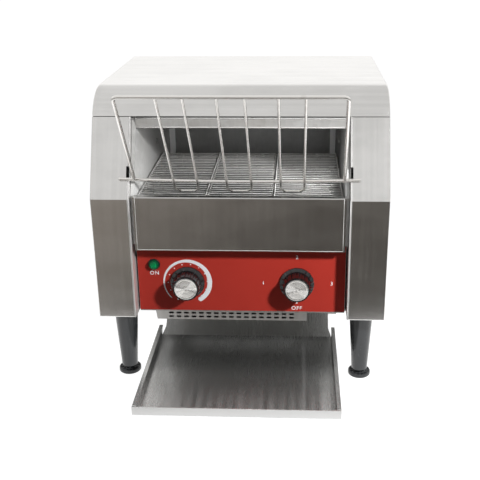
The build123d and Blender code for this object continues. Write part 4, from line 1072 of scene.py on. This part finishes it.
table = finish(
    "white_table",
    [],
    lambda tap: {},
    base_color=(0.30, 0.30, 0.30, 1.0),
    roughness=0.9,
    specular_ior_level=0.1,
    emission_color=(1.0, 1.0, 1.0, 1.0),
    emission_strength=0.97,
)
stage_plane("table_near", -0.75, 0.75, -0.262, 1.2, -0.0002)
far_table = stage_plane("table_far", -14.0, 14.0, -8.0, 20.0, -0.0010)
far_table.visible_glossy = False

room = bpy.data.worlds.new("studio")
bpy.context.scene.world = room
room.use_nodes = True
room.node_tree.nodes.clear()
sky = Tap(room.node_tree)
direction = sky.node("TexCoord", out="Generated")
east, north, up = (direction.axis(letter) for letter in "XYZ")

# What gloss sees: a bright upper half with a brighter backdrop, an even grey low at the sides, and
# a low front that is lighter on the left and darker on the right of a slanted edge.
backdrop = north.ease(0.25, 0.65) * (1.0 - up.ease(0.40, 0.55))
above = 0.74 + 0.36 * backdrop
upper_half = above.node("CombineColor", sockets={0: above, 1: above * 0.995, 2: above * 0.985})
front_left, front_right, low_sides = (0.29, 0.26, 0.23), (0.072, 0.066, 0.058), (0.36, 0.36, 0.35)
front = (east - 1.8 * (up + 0.37)).ease(-0.21, -0.12).blend(front_left, front_right)
lower_half = north.ease(-0.75, -0.45).blend(front, low_sides)
seen_in_gloss = up.ease(-0.10, 0.05).blend(lower_half, upper_half)

# Dull surfaces get a weak even fill, and the camera sees plain white.
reflected = sky.node("Background", sockets={"Color": seen_in_gloss, "Strength": 1.0})
fill = sky.node("Background", sockets={"Color": (0.93, 0.96, 1.0, 1.0), "Strength": 0.09})
plain_white = sky.node("Background", sockets={"Color": (1.0, 1.0, 1.0, 1.0), "Strength": 1.0})
on_dull = sky.node("LightPath", out="Is Diffuse Ray")
on_view = sky.node("LightPath", out="Is Camera Ray")
unseen = sky.node("MixShader", sockets={0: on_dull, 1: reflected, 2: fill})
whole = sky.node("MixShader", sockets={0: on_view, 1: unseen, 2: plain_white})
sky.node("OutputWorld", sockets={"Surface": whole})


def lamp(name, stand, target, size, watts, glossy=True, diffuse=True):
    """Round area light on its stand, turned to a target; it may leave out gloss or dull."""
    light = bpy.data.lights.new(name, "AREA")
    light.shape = "DISK"
    light.size = size
    light.energy = watts
    holder = bpy.data.objects.new(name, light)
    aim = (Vector(target) - Vector(stand)).to_track_quat("-Z", "Y")
    holder.matrix_world = Matrix.Translation(stand) @ aim.to_matrix().to_4x4()
    holder.visible_glossy = glossy
    holder.visible_diffuse = diffuse
    holder.visible_camera = False
    bpy.context.scene.collection.objects.link(holder)


key_stand, key_target = (0.46, -0.51, 0.57), (0.02, -0.09, 0.16)
mouth_stand, mouth_target = (0.118, -0.045, 0.308), (-0.125, 0.0, 0.288)
lamp("key_on_dull", key_stand, key_target, 0.07, 6.3, glossy=False)
lamp("mouth_soft", mouth_stand, mouth_target, 0.05, 0.17, glossy=False)
lamp("key_on_gloss", key_stand, key_target, 0.07, 0.4, diffuse=False)

bpy.context.scene.view_settings.view_transform = "Standard"

# ------------------------------------------------------------------ camera
# A camera about a metre in front of the toaster, above it and a little to the right, looking down
# on it. The small shift centres the toaster in the frame.

camera = bpy.data.cameras.new("camera")
camera.sensor_width = 36.0
camera.lens = 59.31
camera.shift_x = -0.04
camera.shift_y = -0.07
eye = bpy.data.objects.new("camera", camera)
eye_place, turned_left, looking_down, tilted = (0.0714, -1.0152, 0.5768), 0.0510, 0.3421, -0.0097
eye.matrix_world = (
    Matrix.Translation(eye_place)
    @ Matrix.Rotation(turned_left, 4, "Z")
    @ Matrix.Rotation(pi / 2 - looking_down, 4, "X")
    @ Matrix.Rotation(tilted, 4, "Z")
)
bpy.context.scene.collection.objects.link(eye)
bpy.context.scene.camera = eye
